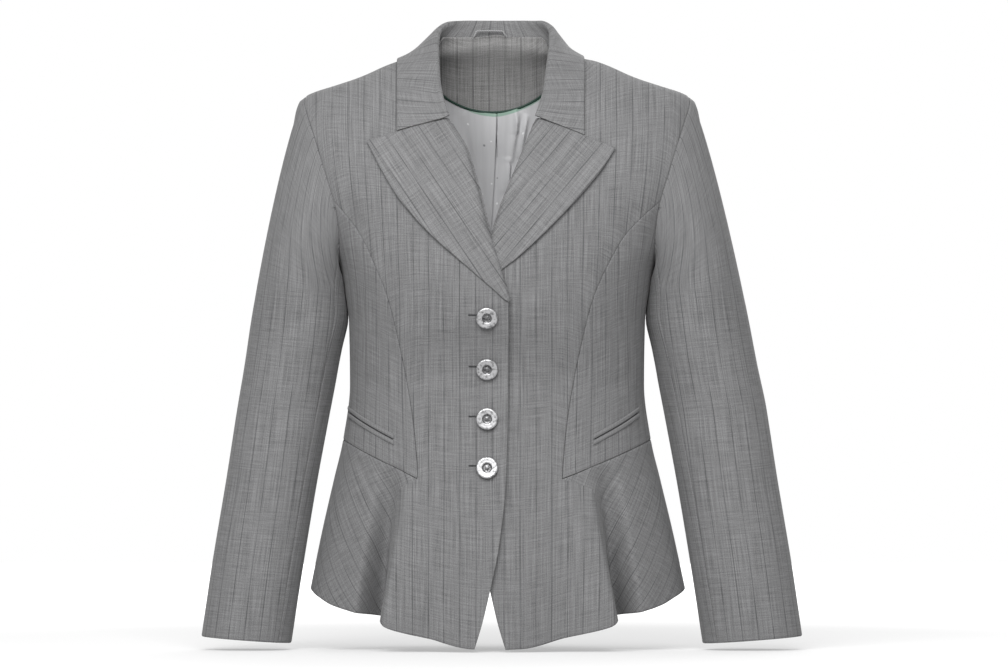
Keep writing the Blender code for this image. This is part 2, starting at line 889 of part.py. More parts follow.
def make_collar(cloth):
    stations, stand_steps, fall_steps = 14, 3, 5
    grid = []
    for k in range(-stations, stations + 1):
        side = RIGHT if k < 0 else LEFT
        seam, roll, edge = collar_profile(side, abs(k) / stations)
        rise = unit(subtract(roll, seam))
        ahead = collar_profile(side, min(1.0, abs(k) / stations + 0.02))[1]
        behind = collar_profile(side, max(0.0, abs(k) / stations - 0.02))[1]
        out = unit(cross(subtract(ahead, behind), rise))
        if sum(p * q for p, q in zip(out, subtract(edge, seam))) < 0:
            out = tuple(-p for p in out)
        line = [
            tuple(lerp(p, q, j / stand_steps) for p, q in zip(seam, roll))
            for j in range(stand_steps)
        ]
        crown = along(along(roll, out, COLLAR_ROLL_BULGE / 2), rise, 1.0)
        line += [roll, crown]
        shoulder = along(along(roll, out, COLLAR_ROLL_BULGE), rise, -0.6)
        for j in range(fall_steps + 1):
            fall = tuple(lerp(p, q, j / fall_steps) for p, q in zip(shoulder, edge))
            line.append(clear_of_body(fall, COLLAR_CLEARANCE))
        grid.append(line)
    first, second = thickened(grid, WALL)
    return wall("collar", first, second, cloth)


def lapel_grid(side):
    """Places of the lapel between its roll line and its outer edge, up to the gorge."""
    low = LAPEL_EDGE[0].height

    def roll(t):
        height = lerp(low - 3, GORGE, t)
        return front_angle(side, ROLL_LINE, height, COLLAR_CENTRE), height

    def edge(t):
        height = lerp(low, LAPEL_EDGE[-1].height, t)
        return front_angle(side, LAPEL_EDGE, height, COLLAR_CENTRE), height

    return patch(
        path([(0, roll(0)), (1, edge(0))]),
        path([(0, roll(1)), (1, edge(1))]),
        roll,
        edge,
        6,
        14,
    )


def lapel_lift(side):
    under = over_lift(side)

    def lift(angle, height):
        return under(angle, height) + LAYER_GAP + WALL

    return lift


def make_lapel(side, name, cloth):
    return panel(name, side, lapel_grid(side), cloth, lapel_lift(side))


def pocket_lip(side, low, high):
    """Places of a pocket lip between two heights off the slit."""
    columns = 8
    grid = []
    for offset in (low, high):
        line = []
        for i in range(columns + 1):
            reach = lerp(POCKET[0].reach, POCKET[-1].reach, i / columns)
            height = column(POCKET, "reach", "height", reach) + offset
            line.append((angle_at(side, side * reach, height), height))
        grid.append(line)
    return grid


def make_welts(side, word, cloth):
    half = SLIT_WIDTH / 2
    for name, low, high in (
        ("welt_upper", half, half + WELT_WIDTH),
        ("welt_lower", -half - WELT_WIDTH, -half),
    ):
        panel(
            f"{name}_{word}",
            side,
            pocket_lip(side, low, high),
            cloth,
            lambda angle, height: OVERLAP_GAP + THIN_WALL,
            THIN_WALL,
        )


def neck_height(angle):
    """The height of the back neckline by the angle from the side."""
    return BACK_NECK * abs(angle) / (math.pi / 2)


def back_place(x, height):
    """The (angle, height) place on the back at an X, as an angle of the left side."""
    angle = -angle_at(LEFT, abs(x), height)
    return (angle if x >= 0 else -math.pi - angle), height


def neck_place(x):
    """The place on the back neckline at an X."""
    low, high = -math.pi / 2, 0.0
    for _ in range(30):
        middle = (low + high) / 2
        if body(LEFT, middle, neck_height(middle))[0] < abs(x):
            low = middle
        else:
            high = middle
    return (low if x >= 0 else -math.pi - low), neck_height(low)


def facing_edge(x, above=0.0):
    """The place on the back facing's round lower edge at an X, or so far above it."""
    drop = math.sqrt(FACING_RADIUS**2 - x * x)
    above *= FACING_RADIUS / drop
    return back_place(x, FACING_BOTTOM + FACING_RADIUS - drop + above)


def inside_lift(angle, height):
    return -WALL - INSIDE_GAP


def across_back(share):
    return lerp(-FACING_REACH, FACING_REACH, share)


def make_facing(cloth):
    columns, rows = 16, 3
    grid = []
    for j in range(rows + 1):
        line = []
        for i in range(columns + 1):
            x = across_back(i / columns)
            low, high = facing_edge(x, PIPING_ROOM), neck_place(x)
            line.append(tuple(lerp(p, q, j / rows * 0.98) for p, q in zip(low, high)))
        grid.append(line)
    return panel("back_facing", LEFT, grid, cloth, inside_lift, THIN_WALL)


def make_lining(satin):
    def top(t):
        return facing_edge(across_back(t), -PIPING_ROOM)

    edge = [(p.share, (math.radians(p.angle), p.height)) for p in LINING_SIDE]
    right_side = path(edge + [(1, top(1))])

    def left_side(t):
        angle, height = right_side(t)
        return -math.pi - angle, height

    bottom = path([(0, left_side(0)), (1, right_side(0))])
    grid = patch(bottom, top, left_side, right_side, 24, 10, 3)

    def lift(angle, height):
        tuck = max(0.0, 1 - abs(angle + math.pi / 2) / TUCK_HALF_ANGLE)
        return inside_lift(angle, height) - TUCK_DEPTH * tuck * ease((FACING_BOTTOM - height) / 12)

    return panel("back_lining", LEFT, grid, satin, lift, LINING_WALL)


def tube(name, points, radius, sides, material):
    """A round cord along a run of points, closed at both ends."""
    rings = []
    for k, point in enumerate(points):
        ahead = unit(subtract(points[min(k + 1, len(points) - 1)], points[max(k - 1, 0)]))
        across = unit(cross(ahead, (0.0, 1.0, 0.0)))
        up = cross(across, ahead)
        ring = []
        for i in range(sides):
            turn = 2 * math.pi * i / sides
            spoke = [math.cos(turn) * a + math.sin(turn) * b for a, b in zip(across, up)]
            ring.append(along(point, spoke, radius))
        rings.append(ring)
    return lathe(name, rings, material)


def lathe(name, rings, material):
    """A closed solid through rings of points, flat at its first and last ring."""
    sides = len(rings[0])
    points = [p for ring in rings for p in ring]
    faces = [tuple(range(sides - 1, -1, -1))]
    for k in range(len(rings) - 1):
        for i in range(sides):
            a, b = k * sides + i, k * sides + (i + 1) % sides
            faces.append((a, b, b + sides, a + sides))
    last = (len(rings) - 1) * sides
    faces.append(tuple(range(last, last + sides)))
    if signed_volume(points, faces) < 0:
        faces = [tuple(reversed(face)) for face in faces]
    return make_object(name, points, faces, material)


def make_piping(silk):
    columns = 26
    points = []
    for i in range(columns + 1):
        angle, height = facing_edge(across_back(i / columns))
        points.append(lifted(LEFT, angle, height, -WALL - INSIDE_GAP - PIPING_RADIUS))
    return tube("facing_piping", points, PIPING_RADIUS, 6, silk)


def make_loop(cloth):
    first_x = COLLAR[1].roll_x
    stations = len(COLLAR) - 1
    points = []
    for reach, rise in zip(LOOP_REACH, LOOP_RISE):
        x = COLLAR_CENTRE + reach
        seam, roll, _ = collar_profile(LEFT if x > 0 else RIGHT, abs(x) / first_x / stations)
        point = tuple(lerp(p, q, rise) for p, q in zip(seam, roll))
        points.append(along(point, (0, -1, 0), WALL / 2 + LAYER_GAP + LOOP_RADIUS * 1.3))
    return tube("hanger_loop", points, LOOP_RADIUS, 6, cloth)


def make_button(name, height, metal):
    angle = angle_at(RIGHT, BUTTON_X, height)
    centre = lifted(RIGHT, angle, height, over_lift(RIGHT)(angle, height) + BUTTON_GAP)
    out = body_normal(RIGHT, angle, height)
    across = unit(cross(out, (0.0, 0.0, 1.0)))
    up = cross(across, out)
    rings = []
    for point in BUTTON:
        ring = []
        for i in range(BUTTON_SIDES):
            turn = 2 * math.pi * i / BUTTON_SIDES
            spoke = [math.cos(turn) * a + math.sin(turn) * b for a, b in zip(across, up)]
            ring.append(along(along(centre, out, point.rise), spoke, point.radius))
        rings.append(ring)
    return lathe(name, rings, metal)


def clear_scene():
    for obj in list(bpy.data.objects):
        bpy.data.objects.remove(obj)


def build():
    clear_scene()
    cloth = make_material("suiting", CLOTH_GREY, 0.85)
    upper_turns, under_turns = sleeve_turns()
    for side, word in ((RIGHT, "right"), (LEFT, "left")):
        make_front(side, f"front_{word}", cloth)
        make_side_front(side, f"side_front_{word}", cloth)
        make_peplum_front(side, f"peplum_front_{word}", cloth)
        make_back(side, f"back_{word}", cloth)
        make_peplum_back(side, f"peplum_back_{word}", cloth)
        make_sleeve(side, f"upper_sleeve_{word}", upper_turns, cloth)
        make_sleeve(side, f"under_sleeve_{word}", under_turns, cloth)
        make_lapel(side, f"lapel_{word}", cloth)
        make_welts(side, word, cloth)
    make_collar(cloth)
    make_facing(cloth)
    make_lining(make_material("lining", LINING_GREY, 0.4))
    make_piping(make_material("piping", PIPING_GREEN, 0.5))
    make_loop(cloth)
    metal = make_material("button_metal", BUTTON_METAL, 0.3, 1.0)
    for number, height in enumerate(BUTTON_HEIGHTS, 1):
        make_button(f"button_{number}", height, metal)


build()
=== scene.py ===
"""Looks of a fitted striped jacket with a fluted peplum, filled out as when worn, and empty.

Lengths are in millimetres until a sheet of cloth is sewn, which turns them into metres.
X runs to the viewer's right, Y from the front of the jacket to its back, and Z up.
Right and left are the wearer's, so the right side has the negative X.
"""

import math
from collections import namedtuple

import bpy
import numpy as np
from mathutils import Matrix, Vector


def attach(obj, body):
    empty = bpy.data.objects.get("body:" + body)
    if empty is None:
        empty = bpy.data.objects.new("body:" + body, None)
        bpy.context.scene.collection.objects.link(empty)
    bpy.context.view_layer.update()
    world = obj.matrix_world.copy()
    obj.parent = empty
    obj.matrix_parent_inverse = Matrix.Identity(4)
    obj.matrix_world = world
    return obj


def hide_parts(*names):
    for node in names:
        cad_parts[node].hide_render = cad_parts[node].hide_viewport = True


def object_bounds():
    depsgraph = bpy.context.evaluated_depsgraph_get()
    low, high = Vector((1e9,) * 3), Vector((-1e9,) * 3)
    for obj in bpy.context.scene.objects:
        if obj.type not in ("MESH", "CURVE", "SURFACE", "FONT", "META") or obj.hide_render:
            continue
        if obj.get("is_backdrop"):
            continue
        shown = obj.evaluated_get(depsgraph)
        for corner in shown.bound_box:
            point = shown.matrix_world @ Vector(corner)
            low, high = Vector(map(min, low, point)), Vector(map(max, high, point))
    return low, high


MM = 0.001

# Cloth and seams
WALL = 2.0
THIN_WALL = 1.2
LAYER_GAP = 0.4
OVERLAP_GAP = 0.8
CLOTH_EDGE_ANGLE = math.radians(48)
RIGHT, LEFT = -1, 1


def rows_of(kind, *rows):
    """A table whose values have names."""
    return tuple(kind(*row) for row in rows)


# Driving lines of the cut
FRONT_CENTRE = -7.0
COLLAR_CENTRE = -5.0
SHOULDER_TIP = -43.0
UNDERARM = -218.0
ARMHOLE_MIDDLE = (SHOULDER_TIP + UNDERARM) / 2
ARMHOLE_HALF = (SHOULDER_TIP - UNDERARM) / 2
ARMHOLE_FRONT_REACH = math.radians(33)
ARMHOLE_BACK_REACH = math.radians(30)
PRINCESS_TOP = -150.0
WAIST_CORNER = -434.0
WAIST_SIDE = -396.0
WAIST_BACK = -388.0
BACK_NECK = 16.0
GORGE = -64.0
BREAK_POINT = -250.0
OVERLAP_FADE = 70.0
OVERLAP_TOP = -130.0
TOP_HOLD = 5
SHOULDER_ROUNDING = 20.0

# Places on the body, each an angle from the side seam and a height
BACK_CENTRE = -math.pi / 2
SIDE_WAIST = 0.0, WAIST_SIDE
SIDE_UNDERARM = 0.0, UNDERARM
BACK_WAIST = BACK_CENTRE, WAIST_BACK
NAPE = BACK_CENTRE, BACK_NECK
NECK_POINT = 0.0, 0.0
SHOULDER_POINT = 0.0, SHOULDER_TIP

# The body as level sections: half_width is where the section is widest, at side_y,
# front and back are its depths from there, and square is the power of its rounding.
Section = namedtuple("Section", "height half_width side_y front back square")
SECTIONS = rows_of(
    Section,
    (16, 58, 34, 26, 51, 2.0),
    (0, 72, 31, 33, 57, 2.0),
    (-6.5, 102, 27, 40, 67, 2.05),
    (-23.5, 143, 22, 52, 78, 2.15),
    (-32.5, 170, 19, 60, 85, 2.2),
    (-37.5, 186, 17.5, 64, 88, 2.25),
    (-42, 196, 16.5, 68, 90, 2.25),
    (-49.5, 203, 16, 74, 92, 2.3),
    (-62, 207, 15, 83, 95, 2.3),
    (-85, 210, 13, 98, 100, 2.3),
    (-115, 208, 11, 113, 106, 2.3),
    (-150, 194, 8, 124, 109, 2.3),
    (-190, 176, 4, 127, 108, 2.3),
    (-218, 163, 1, 128, 107, 2.25),
    (-245, 157, 0, 127, 104, 2.2),
    (-275, 152.5, -1, 121, 99, 2.2),
    (-339, 151.5, -3, 104, 90, 2.2),
    (-396, 158.5, -2, 104, 97, 2.2),
    (-435, 167.5, -1, 108, 107, 2.15),
    (-490, 180, 0, 114, 122, 2.1),
    (-550, 192, 1, 120, 138, 2.1),
    (-615, 205, 2, 126, 152, 2.1),
)

# The flutes of the peplum: a bump of that reach about an angle from the side seam,
# towards the front where it is positive, growing from its top down to the hem.
# Lean carries the bump along the cloth towards the side seam, so a flute overhangs.
Fold = namedtuple("Fold", "side angle half_angle reach lean top")
FOLDS = rows_of(
    Fold,
    (RIGHT, 62, 11, 17, 12, -425),
    (RIGHT, 51, 9, -42, 12, -420),
    (RIGHT, 18, 20, 4, 0, -415),
    (LEFT, 74, 9, -5, 0, -470),
    (LEFT, 61, 11, 17, 14, -425),
    (LEFT, 50, 9, -42, 12, -420),
    (LEFT, 14, 20, 5, 0, -415),
    (RIGHT, -28, 16, 11, 0, -400),
    (RIGHT, -47, 12, -15, 0, -400),
    (RIGHT, -66, 15, 12, 0, -400),
    (LEFT, -30, 16, 11, 0, -400),
    (LEFT, -49, 12, -15, 0, -400),
    (LEFT, -68, 15, 12, 0, -400),
)
FOLD_DEPTH_RANGE = 150.0
FOLD_FULLEST = 1.2
FOLD_GROWTH = 0.9
VALLEY_REACH = -20.0

# Height of the hem by angle from the side seam.
HemPoint = namedtuple("HemPoint", "angle height")
HEM = rows_of(
    HemPoint,
    (-90, -545), (-45, -545), (0, -549), (10, -550.5), (20, -556), (30, -564.5), (40, -570.5),
    (49, -575.5), (58, -580.5), (62, -586), (71, -597.5), (84, -608.7), (100, -610.5),
)

# Front edges, as distances out from the centre line at each height.
EdgePoint = namedtuple("EdgePoint", "height reach")
PRINCESS = rows_of(
    EdgePoint,
    (-434, 73.5), (-410, 75.5), (-372, 79.5), (-330, 86.5), (-290, 95), (-250, 105), (-215, 119),
    (-188, 132), (-166, 147), (-150, 161),
)
CLOSING_EDGE = rows_of(
    EdgePoint,
    (-608.7, 15.7), (-583, 8), (-547, -0.5), (-500, -9.5), (-436, -15.9), (-330, -18.5),
    (-250, -19),
)
ROLL_LINES = {
    RIGHT: rows_of(
        EdgePoint,
        (-250, -18), (-218, -9), (-189, 0), (-175, 5), (-144, 12.2), (-114, 20.5), (-94, 26.5),
        (-64, 44),
    ),
    LEFT: rows_of(
        EdgePoint,
        (-250, -18), (-218, -9), (-189, -2), (-175, 2.2), (-144, 12.5), (-114, 24.5), (-85, 36),
        (-64, 44.5),
    ),
}
LAPEL_EDGES = {
    RIGHT: rows_of(
        EdgePoint,
        (-249, -12.0), (-240, -2), (-221, 20), (-201, 43.5), (-183, 63), (-163, 81.5),
        (-141, 99), (-114, 115), (-89, 128),
    ),
    LEFT: rows_of(
        EdgePoint,
        (-247, -13), (-240, -9), (-221, 8.3), (-208, 25), (-191, 43.8), (-154.5, 80),
        (-135.5, 97.5), (-119, 111), (-96.5, 125.7),
    ),
}

# The collar from the centre back to the gorge: its neck seam lies on the body at an angle
# and height, the roll line is a free curve, and the outer edge lies on the body again,
# past the shoulder at a steady reach from the centre.
Station = namedtuple(
    "Station", "seam_angle seam_height roll_x roll_y roll_z edge_angle edge_height"
)
COLLAR = rows_of(
    Station,
    (-90, 16, 0, 91, 33.7, -90, -24),
    (-62, 11, 25, 87.5, 33.7, -75, -24),
    (-34, 6, 42.5, 77, 33, -57, -21.5),
    (-10, 1.5, 56, 54, 24, -30, -14),
    (30, -4, 58, 24, 9, 2, -5.0),
    (60, -20, 56, -17, -12, 40, -18.5),
    (74, -42, 52.5, -51, -37, 62, -43),
    (78, -63, 45, -76, -62, 65, -78.5),
)
COLLAR_EDGE_REACH = 96.0
COLLAR_EDGE_CENTRE = -6.5
COLLAR_SHOULDER = 4 / 7
COLLAR_BACK_LIFT = 1.7
COLLAR_FRONT_LIFT = 3.6
COLLAR_END_LIFT = 2.6
COLLAR_EDGE_TILT = 1.5
COLLAR_END_DROP = {RIGHT: 0.0, LEFT: 4.3}
COLLAR_CLEARANCE = 1.7
COLLAR_ROLL_BULGE = 5.0
COLLAR_SEAM_GAP = 1.5
COLLAR_GRAIN_SLANT = 0.27
NECK_MIDDLE = -5.0, 20.0, -60.0

# The sleeve below the cap as rings: inner_x and outer_x are its front outline,
# and left_more is how much wider the left sleeve stands out.
Ring = namedtuple("Ring", "height inner_x outer_x left_more centre_y depth")
SLEEVE = rows_of(
    Ring,
    (-246, 161, 248, 5, 4, 128),
    (-275, 157, 253, 6, 5, 124),
    (-322, 164, 260, 8, 5, 118),
    (-370, 173, 268, 10, 1, 112),
    (-435, 185, 278, 10, -8, 104),
    (-532, 201, 294, 10, -24, 95),
    (-601, 211.5, 304, 10, -34, 88),
)
SLEEVE_TILT = 0.075
SLEEVE_GAP = 0.4
CAP_LEAVE = 0.09
CAP_ARRIVE = 0.5
SIDE_FRONT_SHORT = math.radians(4)
FRONT_SLEEVE_SEAM = 0.6
BACK_SLEEVE_SEAM = 0.6

# Inside of the neck
INSIDE_GAP = 1.6
FACING_BOTTOM = -59.0
FACING_RADIUS = 84.0
FACING_REACH = 62.0
LINING_WALL = 1.0
PIPING_RADIUS = 1.2
PIPING_ROOM = 1.7
LOOP_RADIUS = 1.0
CORD_END_ANGLE = math.radians(60)
LoopPoint = namedtuple("LoopPoint", "x height lift")
LOOP = rows_of(
    LoopPoint,
    (-25.0, 16.6, -1.5), (-23.4, 19.5, 1.5), (-21.8, 22.5, 3.0), (-20.2, 24.3, 3.6),
    (-7.5, 24.6, 3.8), (5.0, 24.3, 3.6), (6.8, 22.8, 3.0), (9.2, 19.5, 1.5), (11.8, 16.6, -1.5),
)
LiningPoint = namedtuple("LiningPoint", "share angle height")
LINING_SIDE = rows_of(
    LiningPoint,
    (0.0, -4, -380), (0.4, -4, -262), (0.6, -38, -200), (0.8, -38, -100),
)

# Pocket slit, as height by distance from the centre.
SlitPoint = namedtuple("SlitPoint", "reach height")
POCKET = rows_of(
    SlitPoint,
    (102, -394.5), (118, -386), (133, -377.5), (149, -367),
)
POCKET_CENTRE = -3.5
WELT_WIDTH = 5.0
SLIT_WIDTH = 1.4

# Buttons
BUTTON_HEIGHTS = (-267.0, -320.4, -372.3, -423.2)
BUTTON_X = -10.0
BUTTON_GAP = 0.5


# Curves and the body's surface
def lerp(a, b, t):
    return a + (b - a) * t


def ease(t):
    t = np.clip(t, 0.0, 1.0)
    return t * t * (3 - 2 * t)


Fade = namedtuple("Fade", "start span")


def faded(at, fade):
    """How far a fade has come at each place, from 0 to 1."""
    return ease((at - fade.start) / fade.span)


def smooth(knots, at):
    """The value at a place on a smooth curve through (place, value) knots, with no overshoot."""
    if at <= knots[0][0]:
        return knots[0][1]
    if at >= knots[-1][0]:
        return knots[-1][1]
    spans = [b[0] - a[0] for a, b in zip(knots, knots[1:])]
    rises = [(b[1] - a[1]) / h for a, b, h in zip(knots, knots[1:], spans)]
    slopes = [rises[0]]
    for before, after in zip(rises, rises[1:]):
        flat = before * after <= 0
        slopes.append(0.0 if flat else 2 * before * after / (before + after))
    slopes.append(rises[-1])
    i = max(k for k in range(len(spans)) if knots[k][0] <= at)
    t = (at - knots[i][0]) / spans[i]
    start = knots[i][1] + t * t * (3 - 2 * t) * (knots[i + 1][1] - knots[i][1])
    bend = spans[i] * t * (1 - t) * ((1 - t) * slopes[i] - t * slopes[i + 1])
    return start + bend


def curve(knots, count=1600):
    """A smooth curve through knots that can be read at many places at once."""
    knots = sorted(knots)
    places = np.linspace(knots[0][0], knots[-1][0], count)
    values = np.array([smooth(knots, place) for place in places])
    return lambda at: np.interp(at, places, values)


def columns_of(rows, key=None):
    """The columns of a table as smooth curves over its key column, or over the rows' numbers."""
    places = range(len(rows)) if key is None else [getattr(row, key) for row in rows]
    names = [name for name in rows[0]._fields if name != key]
    return {name: curve(zip(places, [getattr(row, name) for row in rows])) for name in names}


SECTION = columns_of(SECTIONS, "height")
RING = columns_of(SLEEVE, "height")
COLLAR_AT = columns_of(COLLAR)
HEM_LINE = curve(HEM)
PRINCESS_REACH = curve(PRINCESS)
CLOSING_REACH = curve(CLOSING_EDGE)
ROLL_REACH = {side: curve(rows) for side, rows in ROLL_LINES.items()}
LAPEL_REACH = {side: curve(rows) for side, rows in LAPEL_EDGES.items()}
POCKET_HEIGHT = curve(POCKET)


def length_of(v):
    return np.sqrt((v * v).sum(axis=-1))


def unit(v):
    return v / np.maximum(length_of(v), 1e-9)[..., None]


def fold_shift(side, angle, height):
    """How far the flutes push the body's surface out and along towards the side at each place."""
    degrees = np.degrees(angle)
    out, lean = np.zeros_like(angle), np.zeros_like(angle)
    for fold in FOLDS:
        away = np.abs(degrees - fold.angle) / fold.half_angle
        drop = np.clip((fold.top - height) / FOLD_DEPTH_RANGE, 0.0, FOLD_FULLEST)
        share = drop**FOLD_GROWTH * np.cos(np.minimum(away, 1.0) * np.pi / 2) ** 2
        share = np.where(side == fold.side, share, 0.0)
        out += fold.reach * share
        lean += fold.lean * share
    return out, lean


def body(side, angle, height, folded=True):
    """Points of the body's outer surface. The angle is 0 at the side seam and 90 degrees at the
    centre front, -90 at the centre back, and runs on past either centre to the other side."""
    angle, height = np.broadcast_arrays(np.asarray(angle, float), np.asarray(height, float))
    over = np.abs(angle) > np.pi / 2
    sides = np.where(over, -side, side)
    angle = np.where(over, np.copysign(np.pi - np.abs(angle), angle), angle)
    half_width = SECTION["half_width"](height)
    depth = np.where(angle > 0, SECTION["front"](height), SECTION["back"](height))
    power = 2 / SECTION["square"](height)
    blur = SHOULDER_ROUNDING * np.sin(2 * np.minimum(np.abs(angle), np.pi / 4)) ** 2
    around = SECTION["half_width"](height - blur) + SECTION["half_width"](height + blur)
    x = (half_width + around / 2) / 2 * np.abs(np.cos(angle)) ** power
    y = -np.copysign(depth * np.abs(np.sin(angle)) ** power, angle)
    if folded:
        out, lean = fold_shift(sides, angle, height)
        out_x, out_y = np.cos(angle) / half_width, -np.sin(angle) / depth
        size = np.hypot(out_x, out_y)
        out_x, out_y = out_x / size, out_y / size
        x = x + out_x * out - out_y * lean
        y = y + out_y * out + out_x * lean
    return np.stack((sides * x, SECTION["side_y"](height) + y, height), axis=-1)


def body_normal(side, angle, height):
    """The outward direction of the body's surface."""
    turn, rise = 0.012, 1.5
    around = body(side, angle + turn, height) - body(side, angle - turn, height)
    up = body(side, angle, height + rise) - body(side, angle, height - rise)
    return -side * unit(np.cross(around, up))


def laid_on(side, angle, height, lift=0.0):
    """Points so far off the body's surface, and its outward direction at each of them."""
    normals = body_normal(side, angle, height)
    return body(side, angle, height) + normals * np.asarray(lift, float)[..., None], normals


def lifted(side, angle, height, lift):
    return laid_on(side, angle, height, lift)[0]


def halved(low, high, before, rounds):
    """The places between low and high up to which a test holds, found by halving."""
    for _ in range(rounds):
        middle = (low + high) / 2
        holds = before(middle)
        low, high = np.where(holds, middle, low), np.where(holds, high, middle)
    return low


def angle_at(side, x, height):
    """The angle at which the unfolded section at each height passes the given X, on the front."""
    x, height = np.broadcast_arrays(np.asarray(x, float), np.asarray(height, float))

    def wider(angle):
        return body(LEFT, angle, height, folded=False)[..., 0] > np.abs(x)

    angle = halved(np.zeros_like(x), np.full_like(x, np.pi / 2), wider, rounds=26)
    return np.where(side * x >= 0, angle, np.pi - angle)


def front_angle(side, reach, height, centre):
    """The angle of a front edge given by its distances from its centre line."""
    return angle_at(side, centre + side * reach(height), height)


def front_line(side, reach, centre, low, high):
    """A front edge from one height to another."""

    def at(t):
        height = lerp(low, high, t)
        return front_angle(side, reach, height, centre), height

    return at


def hem_height(angle):
    return HEM_LINE(np.degrees(angle))


def hem_line(begin, end):
    """The hem from one angle to another."""

    def at(t):
        angle = lerp(begin, end, t)
        return angle, hem_height(angle)

    return at


def armhole(turn):
    """(angle, height) on the armhole's loop: turn is 90 degrees at the shoulder tip, 0 at the
    front, -90 at the underarm and 180 at the back."""
    reach = np.where(np.cos(turn) > 0, ARMHOLE_FRONT_REACH, ARMHOLE_BACK_REACH)
    return reach * np.cos(turn), ARMHOLE_MIDDLE + ARMHOLE_HALF * np.sin(turn)


def armhole_turn(height):
    """The turn at which the armhole passes this height at the front."""
    return math.asin(max(-1.0, min(1.0, (height - ARMHOLE_MIDDLE) / ARMHOLE_HALF)))


def armhole_stretch(begin, end):
    return lambda t: armhole(lerp(begin, end, t))


def path(points):
    """A function from 0 to 1 along straight runs between (place, (angle, height)) points."""
    places = [float(place) for place, _ in points]
    angles = [float(value[0]) for _, value in points]
    heights = [float(value[1]) for _, value in points]
    return lambda t: (np.interp(t, places, angles), np.interp(t, places, heights))


def straight(begin, end):
    """A straight run between two (angle, height) places."""
    return path([(0, begin), (1, end)])


SIDE_SEAM = straight(SIDE_WAIST, SIDE_UNDERARM)
SHOULDER_SEAM = straight(NECK_POINT, SHOULDER_POINT)
BACK_WAIST_SEAM = straight(BACK_WAIST, SIDE_WAIST)


def joined(*stretches):
    """One function from 0 to 1 out of several, each given with the place where it ends."""

    def at(t):
        t = np.asarray(t, float)
        angle, height = np.zeros_like(t), np.zeros_like(t)
        begin = 0.0
        for number, (end, stretch) in enumerate(stretches):
            a, h = stretch(np.clip((t - begin) / (end - begin), 0.0, 1.0))
            here = (t >= begin) if number else np.ones(t.shape, bool)
            angle, height = np.where(here, a, angle), np.where(here, h, height)
            begin = end
        return angle, height

    return at


def patch(bottom, top, first, last, across, upward, hold=1):
    """Grids of angle and height filling the space between four boundary curves.
    The higher hold is, the nearer to the top the top curve's own bends are kept."""
    rise = (upward**hold)[:, None]
    u = across[None, :]
    corners = bottom(0.0), bottom(1.0), top(0.0), top(1.0)
    low, high = bottom(across), top(across)
    start, end = first(upward), last(upward)
    grids = []
    for k in range(2):
        ruled = lerp(low[k][None, :], high[k][None, :], rise)
        ruled = ruled + lerp(start[k][:, None], end[k][:, None], u)
        bottom_line = lerp(corners[0][k], corners[1][k], u)
        top_line = lerp(corners[2][k], corners[3][k], u)
        grids.append(ruled - lerp(bottom_line, top_line, rise))
    return grids


def steps(count):
    """Places from 0 to 1, closer together by both ends, where the cloth turns over an edge."""
    near = np.array([0.0, 0.12, 0.3, 0.6])
    inner = np.arange(1, count)
    return np.concatenate((near, inner, count - near[::-1])) / count


# Sewing a sheet of cloth
def grid_normals(points):
    """The direction across a grid of points, at each of them."""
    return unit(np.cross(np.gradient(points, axis=1), np.gradient(points, axis=0)))


def run_along(points, axis):
    """Distances along the lines of a grid from its first line."""
    size = length_of(np.diff(points, axis=axis))
    start = np.zeros_like(np.take(size, [0], axis=axis))
    return np.concatenate((start, np.cumsum(size, axis=axis)), axis=axis)


Edge = namedtuple("Edge", "dip width tuck")
SEAM = Edge(0.6, 2.4, 2.0)
TURNED = Edge(0.9, 1.6, 0.0)
CUT = Edge(0.0, 1.0, 0.0)
GORGE_END = Edge(0.4, 2.0, 0.0)
BACK_SEAM = Edge(0.6, 2.4, 0.8)


def edge_dip(points, bottom, top, first, last, last_share):
    """How far the cloth sinks towards each of its edges, where it is sewn or turned under."""
    across, upward = run_along(points, 1), run_along(points, 0)
    dip = np.zeros(points.shape[:2])
    for edge, distance, share in (
        (first, across, 1.0),
        (last, across[:, -1:] - across, last_share),
        (bottom, upward, 1.0),
        (top, upward[-1:, :] - upward, 1.0),
    ):
        near = np.clip(1 - distance / edge.width, 0.0, 1.0)
        dip = np.maximum(dip, edge.dip * share * near**2)
    return dip


def tuck_in(points, normals, bottom, top, first, last, last_share):
    """Turns the cloth in at each seam, so that two pieces meet in a narrow closed groove."""
    by_row = points, points.copy(), normals
    by_column = tuple(np.moveaxis(grid, 1, 0) for grid in by_row)
    for edge, (grid, before, out), border, beside, share in (
        (bottom, by_row, 0, 1, 1.0),
        (top, by_row, -1, -2, 1.0),
        (first, by_column, 0, 1, 1.0),
        (last, by_column, -1, -2, last_share),
    ):
        if edge.tuck:
            turned_in = before[border] - out[beside] * edge.tuck
            grid[border] = lerp(grid[border], turned_in, share)


